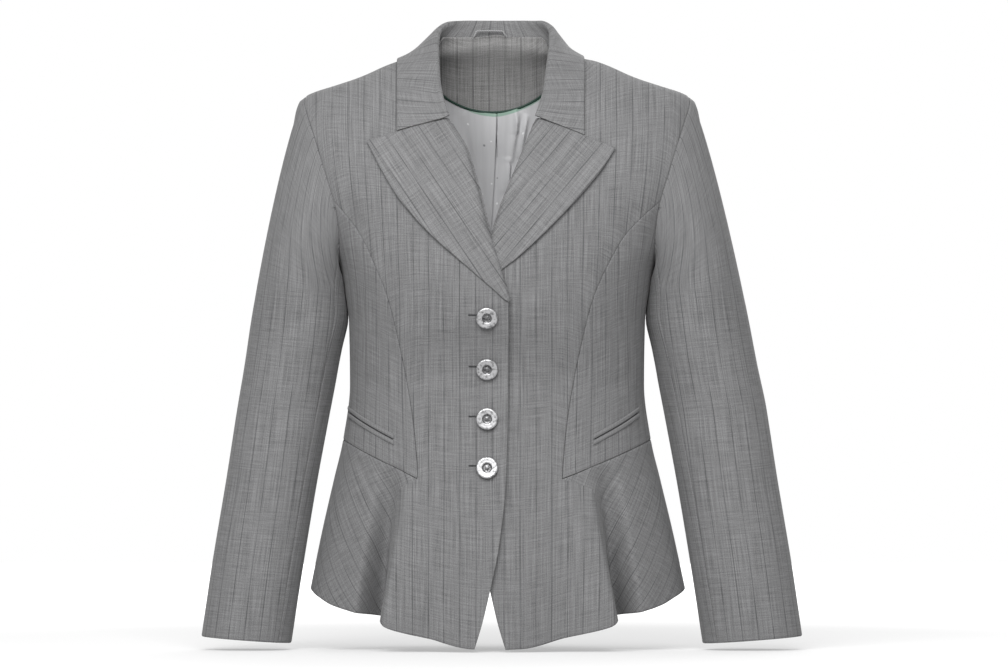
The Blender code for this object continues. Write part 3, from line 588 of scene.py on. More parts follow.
Crease = namedtuple("Crease", "x0 z0 x1 z1 width depth")
FRONT_CREASES = rows_of(
    Crease,
    (-30, -262, -92, -232, 9, -0.9),
    (-26, -276, -104, -282, 12, 0.8),
    (-30, -318, -96, -336, 9, -0.7),
    (-24, -424, -84, -452, 10, -0.9),
    (6, -262, 74, -214, 10, -0.7),
    (10, -330, 84, -352, 10, -0.7),
    (4, -424, 62, -470, 11, -0.9),
    (-152, -150, -128, -206, 10, -1.2),
    (148, -152, 122, -208, 10, -1.2),
    (-146, -330, -104, -346, 9, -0.9),
    (144, -326, 100, -348, 9, -0.9),
    (-60, -500, -52, -600, 16, 0.9),
    (48, -486, 58, -600, 15, 0.9),
)
BACK_CREASES = rows_of(
    Crease,
    (-132, -330, -40, -352, 10, -1.2),
    (-140, -366, -60, -358, 9, 0.9),
    (130, -334, 46, -358, 10, -1.2),
    (138, -370, 58, -362, 9, 0.9),
    (-150, -150, -118, -250, 12, -1.3),
    (148, -146, 116, -244, 12, -1.3),
    (-60, -20, 52, -26, 8, -0.8),
)
SLEEVE_CREASES = rows_of(
    Crease,
    (-182, -262, -226, -286, 9, -1.4),
    (-178, -292, -222, -312, 9, 1.1),
    (-190, -360, -236, -372, 10, -1.3),
    (-192, -384, -240, -392, 8, 1.0),
    (-198, -410, -240, -404, 8, -0.9),
    (-222, -530, -268, -518, 11, -0.9),
    (-196, -96, -214, -176, 11, -0.9),
    (180, -266, 228, -284, 9, -1.3),
    (178, -300, 220, -322, 9, 1.1),
    (192, -366, 240, -374, 10, -1.3),
    (196, -388, 244, -402, 8, 1.0),
    (204, -424, 246, -416, 8, -0.9),
    (226, -540, 274, -524, 11, -0.9),
    (198, -90, 218, -170, 11, -0.9),
)


CREASE_ENDS = 0.8
CREASE_TIGHT = 2.0
CREASE_FACING = 1.6


def crease_push(points, facing, creases):
    """How far soft troughs and ridges move the cloth in or out, where it faces their way."""
    push = np.zeros(points.shape[:2])
    x, z = points[..., 0], points[..., 2]
    for c in creases:
        run_x, run_z = c.x1 - c.x0, c.z1 - c.z0
        t = ((x - c.x0) * run_x + (z - c.z0) * run_z) / (run_x**2 + run_z**2)
        t = np.clip(t, 0.0, 1.0)
        away = np.hypot(x - c.x0 - t * run_x, z - c.z0 - t * run_z) / c.width
        push += c.depth * np.sin(np.pi * t) ** CREASE_ENDS * np.exp(-CREASE_TIGHT * away**2)
    return push * ease(facing * CREASE_FACING)


def quads_area(points):
    across = np.diff(points, axis=1)[:-1]
    upward = np.diff(points, axis=0)[:, :-1]
    return length_of(np.cross(across, upward)).sum()


def sheet_mesh(name, points, uv, flip, materials):
    """A mesh of quads over a grid of points, with a UV map in metres of cloth."""
    rows, columns = points.shape[:2]
    index = np.arange(rows * columns).reshape(rows, columns)
    corners = (index[:-1, :-1], index[:-1, 1:], index[1:, 1:], index[1:, :-1])
    if flip:
        corners = corners[::-1]
    faces = np.stack(corners, axis=-1).reshape(-1, 4)
    mesh = bpy.data.meshes.new(name)
    mesh.from_pydata((points * MM).reshape(-1, 3).tolist(), [], faces.tolist())
    layer = mesh.uv_layers.new(name="cloth")
    layer.data.foreach_set("uv", uv.reshape(-1, 2)[faces.reshape(-1)].reshape(-1).tolist())
    for material in materials:
        mesh.materials.append(material)
    obj = bpy.data.objects.new(name, mesh)
    bpy.context.scene.collection.objects.link(obj)
    return obj


def only(obj):
    bpy.ops.object.select_all(action="DESELECT")
    obj.select_set(True)
    bpy.context.view_layer.objects.active = obj


def thicken(obj, thickness, inner_slot):
    only(obj)
    wall = obj.modifiers.new("wall", "SOLIDIFY")
    wall.thickness = thickness * MM
    wall.offset = -1
    wall.material_offset = inner_slot
    bpy.ops.object.modifier_apply(modifier="wall")
    obj.data.shade_smooth()
    obj.data.set_sharp_from_angle(angle=CLOTH_EDGE_ANGLE)


NARROWEST_SHEET = 10.0


def sew(
    name, points, toward, uv, materials, thickness, edges,
    push=0.0, last_share=1.0,
):
    """One sheet of cloth over a grid of points, its visible face turned the way toward points.
    It stands for the CAD node of its name, and its second material lines the inside."""
    normals = grid_normals(points)
    flip = (normals * toward).sum() < 0
    if flip:
        normals = -normals
    points = points + normals * (push - edge_dip(points, *edges, last_share))[..., None]
    tuck_in(points, normals, *edges, last_share)
    obj = sheet_mesh(f"{name}_cloth", points, uv, flip, materials)
    width, length = run_along(points, 1)[:, -1].max(), run_along(points, 0)[-1].max()
    thicken(obj, thickness, len(materials) - 1)
    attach(obj, "root")
    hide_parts(name)
    if min(width, length) > NARROWEST_SHEET:
        area = min(quads_area(points), width * length) * MM * MM


def lay_detail(name, points, normals, uv, material, thickness):
    """A small piece that lies on the cloth and stands for no CAD node."""
    flip = (grid_normals(points) * normals).sum() < 0
    obj = sheet_mesh(name, points, uv, flip, [material])
    thicken(obj, thickness, 0)
    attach(obj, "root")


def turned(uv, degrees):
    """The cloth's grain turned by an angle."""
    c, s = math.cos(math.radians(degrees)), math.sin(math.radians(degrees))
    u, v = uv[..., 0], uv[..., 1]
    return np.stack((c * u - s * v, s * u + c * v), axis=-1)


def round_the_body(side, angle, height, grain_x):
    """Distance round the body at each place from an upright grain line at an X."""
    start = angle_at(side, grain_x, height)
    total = np.zeros_like(angle)
    before = body(side, start, height)
    count = 40
    for k in range(1, count + 1):
        now = body(side, lerp(start, angle, k / count), height)
        total += length_of(now - before)
        before = now
    return np.where(angle < start, 1, -1) * side * total


GRAIN_SQUARE_FROM = -170.0
GRAIN_SQUARE_OVER = 110.0


def upright_grain(side, angle, height, points, grain_x):
    """Upright grain, measured round the body, and straight across it up by the shoulder."""
    across = round_the_body(side, angle, height, grain_x)
    square = ease((height - GRAIN_SQUARE_FROM) / GRAIN_SQUARE_OVER)
    across = lerp(across, points[..., 0] - grain_x, square)
    upward = np.broadcast_to(run_along(points, 0).mean(axis=1)[:, None], across.shape)
    return np.stack((across, upward), axis=-1) * MM


def row_grain(points, column):
    """Grain along the grid's columns, measured across from one of them."""
    across, upward = run_along(points, 1), run_along(points, 0)
    across = across - across[:, [column]]
    upward = np.broadcast_to(upward[:, [column]], across.shape)
    return np.stack((across, upward), axis=-1) * MM


# Fronts
SECOND_LAYER_DROP = 50.0
SECOND_LAYER_FADE = 40.0
OVERLAP_TOP_FADE = 50.0
OVERLAP_FULL = 0.6
ROLL_TUCK = 8.0
ROLL_TUCK_SPEED = 4
CLOSING_SHARE = 0.6
NECKLINE_SHARE = 0.5
SKIRT_SHARE = 0.3
PRINCESS_SHARE = 0.8
PRINCESS_SWING = 8
SKIRT_FLARE_DROP = 11.0
SKIRT_FLARE_SHARE = 0.62
SKIRT_FLARE_PLACE = 8 / 9
SEWN_RISE = 0.01
EDGE_SPRING = 4.2
EDGE_SPRING_WIDTH = 9.0
EDGE_SPRING_FADE = 30.0
STRIPE_SHIFT = 6.0
SIDE_FRONT_GRAIN_X = 118
SIDE_FRONT_SEAM_SHARE = 10 / 15
PEPLUM_GRAIN_X = 140
PEPLUM_GRAIN_TURN = 38


def over_lift(side, angle, height):
    """The lift of the right front, which closes over the left front and its lapel."""
    if side == LEFT:
        return np.zeros_like(angle)
    x = body(side, angle, height)[..., 0]
    layers = lerp(1, 2, ease((height - BREAK_POINT + SECOND_LAYER_DROP) / SECOND_LAYER_FADE))
    top_fade = ease((OVERLAP_TOP - height) / OVERLAP_TOP_FADE)
    share = ease((x - FRONT_CENTRE + OVERLAP_FADE) / (OVERLAP_FADE * OVERLAP_FULL))
    return layers * (WALL + OVERLAP_GAP) * share * top_fade


def front_first_edge(side):
    """The closing edge up to the break point, then the roll line up to the gorge."""
    closing = front_line(side, CLOSING_REACH, FRONT_CENTRE, CLOSING_EDGE[0].height, BREAK_POINT)

    def roll(t):
        height = lerp(BREAK_POINT, GORGE, t)
        inside = COLLAR_CENTRE + side * ROLL_TUCK * ease(ROLL_TUCK_SPEED * np.asarray(t))
        return front_angle(side, ROLL_REACH[side], height, inside), height

    return joined((CLOSING_SHARE, closing), (1.0, roll))


def valley_angle(side):
    """The angle of the deep valley beside the front flute, where the peplum's seam runs."""
    return math.radians(next(f.angle for f in FOLDS if f.side == side and f.reach < VALLEY_REACH))


def waist_corner(side):
    return float(front_angle(side, PRINCESS_REACH, WAIST_CORNER, FRONT_CENTRE)), WAIST_CORNER


def waist_seam(side):
    """The slanting waist seam from its front corner up to the side, straight as seen in front."""
    corner = waist_corner(side)[0]

    def at(t):
        angle = lerp(corner, 0.0, t)
        rise = (np.cos(angle) - math.cos(corner)) / (1 - math.cos(corner))
        return angle, lerp(WAIST_CORNER, WAIST_SIDE, rise)

    return at


def skirt_seam(side):
    """The seam between the front and the peplum, from the hem in the flute up to the corner."""
    low, corner = valley_angle(side), waist_corner(side)
    flare = lerp(corner[0], low, SKIRT_FLARE_SHARE), WAIST_CORNER - SKIRT_FLARE_DROP
    return path([(0, (low, hem_height(low))), (SKIRT_FLARE_PLACE, flare), (1, corner)])


def princess_line(side):
    """The princess seam, which swings into the armhole at its top."""
    seam = front_line(side, PRINCESS_REACH, FRONT_CENTRE, WAIST_CORNER, PRINCESS_TOP)
    swing = armhole(armhole_turn(PRINCESS_TOP))[0] - seam(1.0)[0]

    def at(t):
        angle, height = seam(t)
        return angle + swing * t**PRINCESS_SWING, height

    return at


def front_neck_angle(side, height):
    """The angle of the front neckline, which meets the top of the roll line at the gorge."""
    rows = [s for s in COLLAR if s.seam_angle > 0]
    knots = [(0.0, 0.0)] + [(-s.seam_height, math.radians(s.seam_angle)) for s in rows]
    meet = front_angle(side, ROLL_REACH[side], GORGE, COLLAR_CENTRE) / knots[-1][1]
    height = np.asarray(height, float)
    return curve(knots, 400)(-height) * lerp(1, meet, ease(height / GORGE))


def front_neckline(side):
    """From the top of the roll line round under the collar to the neck end of the shoulder."""
    return lambda t: (front_neck_angle(side, GORGE * (1 - t)), GORGE * (1 - t))


def make_front(side, name, materials):
    edge = front_first_edge(side)
    outer = joined(
        (SKIRT_SHARE, skirt_seam(side)),
        (PRINCESS_SHARE, princess_line(side)),
        (1.0, armhole_stretch(armhole_turn(PRINCESS_TOP), math.pi / 2)),
    )
    hem = hem_line(edge(0.0)[0], valley_angle(side))
    top = joined((NECKLINE_SHARE, front_neckline(side)), (1.0, SHOULDER_SEAM))
    upward = steps(150)
    angle, height = patch(hem, top, edge, outer, steps(44), upward, TOP_HOLD)
    points, normals = laid_on(side, angle, height, over_lift(side, angle, height))
    push = crease_push(points, -normals[..., 1], FRONT_CREASES)
    if side == RIGHT:
        spring = np.exp(-run_along(points, 1) / EDGE_SPRING_WIDTH)
        push = push + EDGE_SPRING * spring * ease((BREAK_POINT - height) / EDGE_SPRING_FADE)
    uv = upright_grain(side, angle, height, points, FRONT_CENTRE + side * STRIPE_SHIFT)
    sewn = ease((upward[:, None] - SKIRT_SHARE) / SEWN_RISE)
    edges = TURNED, SEAM, TURNED, SEAM
    sew(name, points, normals, uv, materials, WALL, edges, push, last_share=sewn)


def make_side_front(side, name, materials):
    junction = armhole_turn(PRINCESS_TOP)
    armhole_part = armhole_stretch(-math.pi / 2, junction - SIDE_FRONT_SHORT)
    last = joined((SIDE_FRONT_SEAM_SHARE, SIDE_SEAM), (1.0, armhole_part))
    first = princess_line(side)
    top = straight(first(1.0), last(1.0))
    angle, height = patch(waist_seam(side), top, first, last, steps(26), steps(76))
    points, normals = laid_on(side, angle, height)
    push = crease_push(points, -normals[..., 1], FRONT_CREASES)
    uv = upright_grain(side, angle, height, points, side * SIDE_FRONT_GRAIN_X)
    sew(name, points, normals, uv, materials, WALL, (SEAM, SEAM, SEAM, SEAM), push)


def make_peplum_front(side, name, materials):
    hem = hem_line(valley_angle(side), 0.0)
    last = straight(hem(1.0), SIDE_WAIST)
    angle, height = patch(hem, waist_seam(side), skirt_seam(side), last, steps(56), steps(44))
    points, normals = laid_on(side, angle, height)
    uv = upright_grain(side, angle, height, points, side * PEPLUM_GRAIN_X)
    uv = turned(uv, side * PEPLUM_GRAIN_TURN)
    sew(name, points, normals, uv, materials, WALL, (TURNED, SEAM, CUT, SEAM))


# Back
BACK_SEAM_SHARE = 8 / 18


def make_back(side, name, materials):
    armhole_part = armhole_stretch(3 * math.pi / 2, math.pi / 2)
    outer = joined((BACK_SEAM_SHARE, SIDE_SEAM), (1.0, armhole_part))
    top = joined((NECKLINE_SHARE, straight(NAPE, NECK_POINT)), (1.0, SHOULDER_SEAM))
    centre = straight(BACK_WAIST, NAPE)
    angle, height = patch(BACK_WAIST_SEAM, top, centre, outer, steps(48), steps(96), TOP_HOLD)
    points, normals = laid_on(side, angle, height)
    push = crease_push(points, normals[..., 1], BACK_CREASES)
    uv = row_grain(points, 0)
    sew(name, points, normals, uv, materials, WALL, (SEAM, SEAM, BACK_SEAM, SEAM), push)


def make_peplum_back(side, name, materials):
    hem = hem_line(BACK_CENTRE, 0.0)
    first, last = straight(hem(0.0), BACK_WAIST), straight(hem(1.0), SIDE_WAIST)
    angle, height = patch(hem, BACK_WAIST_SEAM, first, last, steps(64), steps(36))
    points, normals = laid_on(side, angle, height)
    uv = turned(row_grain(points, 0), -side * PEPLUM_GRAIN_TURN)
    sew(name, points, normals, uv, materials, WALL, (TURNED, SEAM, BACK_SEAM, SEAM))


# Sleeves
CAP_OUT = 0.15
CAP_OUT_AT_TIP = 0.5
CAP_FORWARD = 0.3
CAP_DOWN = -0.82
TUBE_AHEAD = 10.0
SLEEVE_PRESS = 10.0
PRESS_START = 30.0
PRESS_EASE = 8.0
PRESS_BOTTOM = -305.0
PRESS_RISE = 70.0
PRESS_CLEARANCE = 1.0


def sideways(side):
    return np.array((float(side), 0.0, 0.0))


def sleeve_ring(side, turn, height):
    inner, outer = RING["inner_x"](height), RING["outer_x"](height)
    wide = outer - inner + (RING["left_more"](height) if side == LEFT else 0)
    x = inner + wide / 2 * (1 + np.sin(turn))
    y = RING["centre_y"](height) - RING["depth"](height) / 2 * np.cos(turn)
    return np.stack((side * x, y, height + SLEEVE_TILT * wide / 2 * np.sin(turn)), axis=-1)


def sleeve_points(side, turn, t):
    """Points of the sleeve: t runs 0 to 1 down the cap and 1 to 2 down the tube."""
    turn, t = np.broadcast_arrays(turn, t)
    top, cuff = SLEEVE[0].height, SLEEVE[-1].height
    tube = sleeve_ring(side, turn, lerp(top, cuff, np.clip(t - 1, 0.0, 1.0)))
    angle, height = armhole(turn)
    high = (0.5 + 0.5 * np.sin(turn))[..., None]
    start, normals = laid_on(side, angle, height)
    start = start + sideways(side) * SLEEVE_GAP
    end = sleeve_ring(side, turn, np.full_like(turn, float(top)))
    down = unit(sleeve_ring(side, turn, np.full_like(turn, top - TUBE_AHEAD)) - end)
    out = side * (CAP_OUT + CAP_OUT_AT_TIP * high)
    forward = CAP_FORWARD * normals[..., 1:2] * (1 - high)
    outward = np.concatenate((out, forward, np.full_like(high, CAP_DOWN)), axis=-1)
    span = length_of(end - start)[..., None]
    leave = start + unit(outward) * span * CAP_LEAVE
    arrive = end - down * span * CAP_ARRIVE
    s = np.clip(t, 0.0, 1.0)[..., None]
    cap = (1 - s) ** 3 * start + 3 * s * (1 - s) ** 2 * leave
    cap = cap + 3 * s * s * (1 - s) * arrive + s**3 * end
    return np.where((t >= 1)[..., None], tube, cap)


def sleeve_seams():
    """The turns of the sleeve's front and back seams."""
    under, tip = -math.pi / 2, math.pi / 2
    junction = armhole_turn(PRINCESS_TOP) - SIDE_FRONT_SHORT
    front = lerp(under, junction, FRONT_SLEEVE_SEAM)
    return front, lerp(tip, under + 2 * math.pi, BACK_SLEEVE_SEAM)


def set_in(side, turn, points):
    """Lays the inside of the sleeve against the body below the armhole,
    and turns its top edge in under the edge of the armhole."""
    run = run_along(points, 0)
    reach = run[-1:] - run
    press = SLEEVE_PRESS * np.clip(-np.sin(turn), 0.0, 1.0) * ease(reach / PRESS_START)
    press = press * ease((points[..., 2] - PRESS_BOTTOM) / PRESS_RISE)
    pressed = clear_of_body(points - sideways(side) * press[..., None], PRESS_CLEARANCE)
    points = lerp(points, pressed, ease(reach / PRESS_EASE)[..., None])
    outward = body_normal(side, *armhole(turn))
    dip = SEAM.dip * np.clip(1 - reach / SEAM.width, 0.0, 1.0) ** 2
    points = points - outward * dip[..., None]
    points[-1] = points[-2] - outward[0] * SEAM.tuck
    return points


def make_sleeve(side, name, begin, end, columns, materials):
    turn = lerp(begin, end, steps(columns))[None, :]
    t = 2 * steps(130)[::-1][:, None]
    points = set_in(side, turn, sleeve_points(side, turn, t))
    height = np.clip(points[..., 2], SLEEVE[-1].height, SLEEVE[0].height)
    axis_x = side * (RING["inner_x"](height) + RING["outer_x"](height)) / 2
    toward = points - np.stack((axis_x, RING["centre_y"](height), points[..., 2]), axis=-1)
    facing = -unit(toward)[..., 1]
    push = sum(crease_push(points, way, SLEEVE_CREASES) for way in (facing, -facing))
    uv = row_grain(points, points.shape[1] // 2)
    sew(name, points, toward, uv, materials, WALL, (TURNED, CUT, SEAM, SEAM), push)


# Lapels
ROLL_RADIUS = 5.5
ROLL_FOOT_RADIUS = 2.8
ROLL_SPEED = 3
ROLL_TURNS = np.radians(np.linspace(80, 8, 10))[None, :, None]
ROLL_COLUMN = 6
ROLL_SHELF = {RIGHT: 2.0, LEFT: 0.8}
SHELF_DEPTH = 8
LAPEL_FOOT = 3
LAPEL_SPRING = 2.6
SPRING_ACROSS = Fade(0.7, 0.3)
SPRING_UPWARD = Fade(0.16, 0.2)
LAPEL_GRAIN = {RIGHT: 34, LEFT: 40}


def lapel_places(side, across, upward):
    """Places of the lapel between its roll line and its outer edge, up to the gorge."""
    low, high = LAPEL_EDGES[side][0].height, LAPEL_EDGES[side][-1].height
    roll = front_line(side, ROLL_REACH[side], COLLAR_CENTRE, low - LAPEL_FOOT, GORGE)
    edge = front_line(side, LAPEL_REACH[side], COLLAR_CENTRE, low, high)
    bottom, top = straight(roll(0.0), edge(0.0)), straight(roll(1.0), edge(1.0))
    return patch(bottom, top, roll, edge, across, upward)


def make_lapel(side, name, materials):
    """A lapel that springs off the front, with its roll turned under along the roll line."""
    across, upward = steps(40), steps(70)
    angle, height = lapel_places(side, across, upward)
    spring = faded(across, SPRING_ACROSS)[None, :] * faded(upward, SPRING_UPWARD)[:, None]
    lift = over_lift(side, angle, height) + LAYER_GAP + WALL + LAPEL_SPRING * spring
    points, normals = laid_on(side, angle, height, lift)
    outward = unit(points[:, :1] - points[:, [ROLL_COLUMN]])
    full = ease(ROLL_SPEED * upward)[:, None]
    radius = lerp(ROLL_FOOT_RADIUS, ROLL_RADIUS, full)
    inside = np.clip(radius - run_along(points, 1), 0.0, None)
    points = points - normals * (radius - np.sqrt(radius**2 - inside**2))[..., None]
    centre = points[:, :1] - outward * radius[..., None]
    under = np.cos(ROLL_TURNS) * outward - np.sin(ROLL_TURNS) * normals[:, :1]
    roll = centre + radius[..., None] * under
    shelf = roll[:, :1] + outward * (radius + ROLL_SHELF[side] * full)[..., None] - normals[:, :1]
    points = np.concatenate((shelf - normals[:, :1] * SHELF_DEPTH, shelf, roll, points), axis=1)
    turned_under = np.repeat(outward, points.shape[1] - normals.shape[1], axis=1)
    normals = np.concatenate((turned_under, normals), axis=1)
    grain = math.radians(LAPEL_GRAIN[side])
    x, z = points[..., 0], points[..., 2]
    across_grain = x * math.cos(grain) - side * z * math.sin(grain)
    along_grain = z * math.cos(grain) + side * x * math.sin(grain)
    uv = np.stack((across_grain, along_grain), axis=-1) * MM
    edges = TURNED, TURNED, CUT, TURNED
    sew(name, points, normals, uv, materials, WALL, edges)


# Collar
COLLAR_SEAM_RISE = Fade(0.5, 0.4)
COLLAR_EDGE_FADE = Fade(COLLAR_SHOULDER, 0.1)
COLLAR_TILT_WIDTH = 0.13
COLLAR_DROP_FADE = Fade(0.8, 0.2)
COLLAR_FRONT_FADE = Fade(0.05, 0.2)
COLLAR_END_FADE = Fade(0.82, 0.18)
COLLAR_STEPS = 91
COLLAR_AHEAD = 0.02
STAND_LINES = 3
FALL_LINES = 6
FALL_ROWS = 8
COLLAR_ROLL_DROP = 0.6
COLLAR_GRAIN_BEND = 60
CLEARING_ROUNDS = 4


def outside(points):
    """About how far points are outside the body's unfolded surface, and the direction out."""

    def level(p):
        x, y, z = p[..., 0], p[..., 1], p[..., 2]
        side_y, power = SECTION["side_y"](z), SECTION["square"](z)
        depth = np.where(y < side_y, SECTION["front"](z), SECTION["back"](z))
        total = (np.abs(x) / SECTION["half_width"](z)) ** power
        return (total + (np.abs(y - side_y) / depth) ** power) ** (1 / power)

    step = 0.5
    slope = [(level(points + step * e) - level(points - step * e)) / (2 * step) for e in np.eye(3)]
    slope = np.stack(slope, axis=-1)
    return (level(points) - 1) / length_of(slope), unit(slope)


def clear_of_body(points, clearance):
    for _ in range(CLEARING_ROUNDS):
        distance, direction = outside(points)
        points = points + direction * np.maximum(clearance - distance, 0.0)[..., None]
    return points


def collar_profile(side, share):
    """The neck seam, the roll and the edge of the collar at shares of its half length."""
    share = np.asarray(share, float)
    s = {name: read(share * (len(COLLAR) - 1)) for name, read in COLLAR_AT.items()}
    shift = COLLAR_CENTRE * ease(share)
    roll = np.stack((side * s["roll_x"] + shift, s["roll_y"], s["roll_z"]), axis=-1)
    seam_lift = lerp(-WALL / 2, COLLAR_CLEARANCE - WALL / 2, faded(share, COLLAR_SEAM_RISE))
    neck = front_neck_angle(side, np.minimum(s["seam_height"], 0.0))
    seam_angle = np.where(s["seam_height"] < 0, neck, np.radians(s["seam_angle"]))
    seam = lifted(side, seam_angle, s["seam_height"], seam_lift)
    seam = seam + unit(roll - seam) * COLLAR_SEAM_GAP
    past_shoulder = share - COLLAR_SHOULDER
    edge_x = side * COLLAR_EDGE_REACH + COLLAR_EDGE_CENTRE
    tilt = COLLAR_EDGE_TILT * np.exp(-((past_shoulder / COLLAR_TILT_WIDTH) ** 2))
    drop = COLLAR_END_DROP[side] * faded(share, COLLAR_DROP_FADE)
    edge_height = s["edge_height"] + side * tilt - drop
    at_reach = angle_at(side, edge_x, edge_height)
    edge_angle = np.radians(s["edge_angle"])
    beyond = np.maximum(edge_angle, at_reach)
    front_edge = lerp(beyond, at_reach, faded(share, COLLAR_EDGE_FADE))
    edge_angle = np.where(past_shoulder < 0, np.minimum(edge_angle, -at_reach), front_edge)
    lift = lerp(COLLAR_BACK_LIFT, COLLAR_FRONT_LIFT, faded(past_shoulder, COLLAR_FRONT_FADE))
    lift = lerp(lift, COLLAR_END_LIFT, faded(share, COLLAR_END_FADE))
    return seam, roll, lifted(side, edge_angle, edge_height, lift)


def rounded(knots, count):
    """Grid lines run smoothly through a few lines of points."""
    lines = np.stack([2 * knots[0] - knots[1]] + list(knots) + [2 * knots[-1] - knots[-2]])
    size = length_of(np.diff(np.stack(knots), axis=0)).mean(axis=1)
    places = np.concatenate(([0.0], np.cumsum(size)))
    out = []
    for place in places[-1] * steps(count):
        i = min(max(int(np.searchsorted(places, place)) - 1, 0), len(knots) - 2)
        t = (place - places[i]) / (places[i + 1] - places[i])
        a, b, c, d = lines[i : i + 4]
        bend = 2 * a - 5 * b + 4 * c - d
        twist = 3 * b - a - 3 * c + d
        out.append(0.5 * (2 * b + (c - a) * t + bend * t**2 + twist * t**3))
    return np.stack(out)


def collar_half(side):
    """One half of the collar, from the neck seam up its stand and down its fall to the edge."""
    share = np.linspace(0.0, 1.0, COLLAR_STEPS)
    seam, roll, edge = collar_profile(side, share)
    rise = unit(roll - seam)
    ahead = collar_profile(side, np.minimum(1.0, share + COLLAR_AHEAD))[1]
    behind = collar_profile(side, np.maximum(0.0, share - COLLAR_AHEAD))[1]
    out = unit(np.cross(ahead - behind, rise))
    outward = roll - np.array(NECK_MIDDLE)
    out = np.where(((out * outward).sum(axis=-1) < 0)[:, None], -out, out)
    lines = [lerp(seam, roll, j / STAND_LINES) for j in range(STAND_LINES)]
    lines += [roll, roll + out * COLLAR_ROLL_BULGE / 2 + rise]
    shoulder = roll + out * COLLAR_ROLL_BULGE - rise * COLLAR_ROLL_DROP
    fall = [lerp(shoulder, edge, j / (FALL_LINES - 1)) for j in range(FALL_LINES)]
    lines += [clear_of_body(line, COLLAR_CLEARANCE) for line in fall]
    return rounded(lines, 40)


def make_collar(materials):
    right, left = collar_half(RIGHT), collar_half(LEFT)
    points = np.concatenate((right[:, :0:-1], left), axis=1)
    normals = grid_normals(points)
    toward = np.zeros_like(points)
    toward[-FALL_ROWS:] = points[-FALL_ROWS:] - np.array(NECK_MIDDLE)
    sign = 1 if (normals * toward).sum() > 0 else -1
    points = points + normals * sign * WALL / 2
    middle = points.shape[0] * 3 // 4
    along = run_along(points, 1)
    along = np.broadcast_to(along[[middle]] - along[middle, points.shape[1] // 2], points.shape[:2])
    upward = run_along(points, 0)
    slant = COLLAR_GRAIN_SLANT * np.tanh(along / COLLAR_GRAIN_BEND) * (upward - upward[middle])
    uv = np.stack((along + slant, upward), axis=-1) * MM
    edges = CUT, TURNED, GORGE_END, GORGE_END
    sew("collar", points, toward, uv, materials, WALL, edges)


# Pockets
WELT_WALL = 0.8
WELT_LIFT = 0.25
WELT_CROWN = 1.4
WELT_ROUNDING = 0.4
WELT_CROWN_SPAN = 0.02, 0.98
# The near-black sheet laid under each pocket slit is painted shade.
SHADE_STRIP_SHORT = 1.5
SHADE_STRIP_LIFT = 0.3
SHADE_STRIP_WALL = 0.2


def by_pocket(side, reach, above):
    """Places so far out from the pockets' centre and so far above the slit."""
    height = POCKET_HEIGHT(reach)[None, :] + above[:, None]
    return angle_at(side, POCKET_CENTRE + side * reach[None, :], height), height


def make_welts(side, word, materials):
    across, upward = steps(40), np.linspace(0.0, 1.0, 15)
    reach = lerp(POCKET[0].reach, POCKET[-1].reach, across)
    crown = WELT_CROWN * np.sin(np.pi * lerp(*WELT_CROWN_SPAN, upward)) ** WELT_ROUNDING
    half = SLIT_WIDTH / 2
    for part, low in (("welt_upper", half), ("welt_lower", -half - WELT_WIDTH)):
        angle, height = by_pocket(side, reach, lerp(low, low + WELT_WIDTH, upward))
        points, normals = laid_on(side, angle, height, (WELT_LIFT + crown)[:, None])
        uv = turned(row_grain(points, 0), 90)
        edges = CUT, CUT, TURNED, TURNED
        sew(f"{part}_{word}", points, normals, uv, materials, WELT_WALL, edges)


def make_painted_pocket_shade(side, word, dark):
    """A near-black sheet seen between the pocket's two lips: painted shade standing for the dark
    inside the pocket.
    """
    begin, end = POCKET[0].reach + SHADE_STRIP_SHORT, POCKET[-1].reach - SHADE_STRIP_SHORT
    reach = lerp(begin, end, np.linspace(0.0, 1.0, 40))
    angle, height = by_pocket(side, reach, np.array((-SLIT_WIDTH, SLIT_WIDTH)))
    points, normals = laid_on(side, angle, height, SHADE_STRIP_LIFT)
    uv = row_grain(points, 0)
    lay_detail(f"painted_pocket_shade_{word}", points, normals, uv, dark, SHADE_STRIP_WALL)


# Inside of the neck
def neck_height(angle):
    return BACK_NECK * np.abs(angle) / (np.pi / 2)


def back_angle(x, height):
    """The angle on the back at each X, as an angle of the left side."""
    angle = -angle_at(LEFT, np.abs(x), height)
    return np.where(x >= 0, angle, -np.pi - angle)


def neck_place(x):
    """The places on the back neckline at each X."""

    def narrower(angle):
        return body(LEFT, angle, neck_height(angle))[..., 0] < np.abs(x)

    angle = halved(np.full_like(x, -np.pi / 2), np.zeros_like(x), narrower, rounds=30)
    return np.where(x >= 0, angle, -np.pi - angle), neck_height(angle)


def facing_edge(x, above=0.0):
    """The places on the back facing's round lower edge at each X, or so far above it."""
    drop = np.sqrt(FACING_RADIUS**2 - (x - COLLAR_CENTRE) ** 2)
    height = FACING_BOTTOM + FACING_RADIUS - drop + above * FACING_RADIUS / drop
    return back_angle(x, height), height


def across_back(share):
    return COLLAR_CENTRE + lerp(-FACING_REACH, FACING_REACH, share)


STAND_REACH = 0.62
FACING_TOP = 18.0
FACING_TOP_RANGE = 0.12, 0.8
FACING_STAND_OFF = 2.5
FACING_OVER_PIPING = 0.6
FACING_RISES = 0.0, 0.3, 0.6, 0.88
FACING_STAND_RISES = 0.4, 1.0
FACING_DEPTH = -WALL - INSIDE_GAP - THIN_WALL
FACING_CENTRE = COLLAR_CENTRE, 20.0, 0.0


def stand_lines(x):
    """The neck seam and the roll line of the collar round the back at each X."""
    share = np.linspace(0.0, STAND_REACH, 160)
    right, left = collar_profile(RIGHT, share), collar_profile(LEFT, share)
    lines = [np.concatenate((right[k][:0:-1], left[k])) for k in range(2)]
    seam_x = lines[0][:, 0]
    return [np.stack([np.interp(x, seam_x, row) for row in line.T], axis=-1) for line in lines]


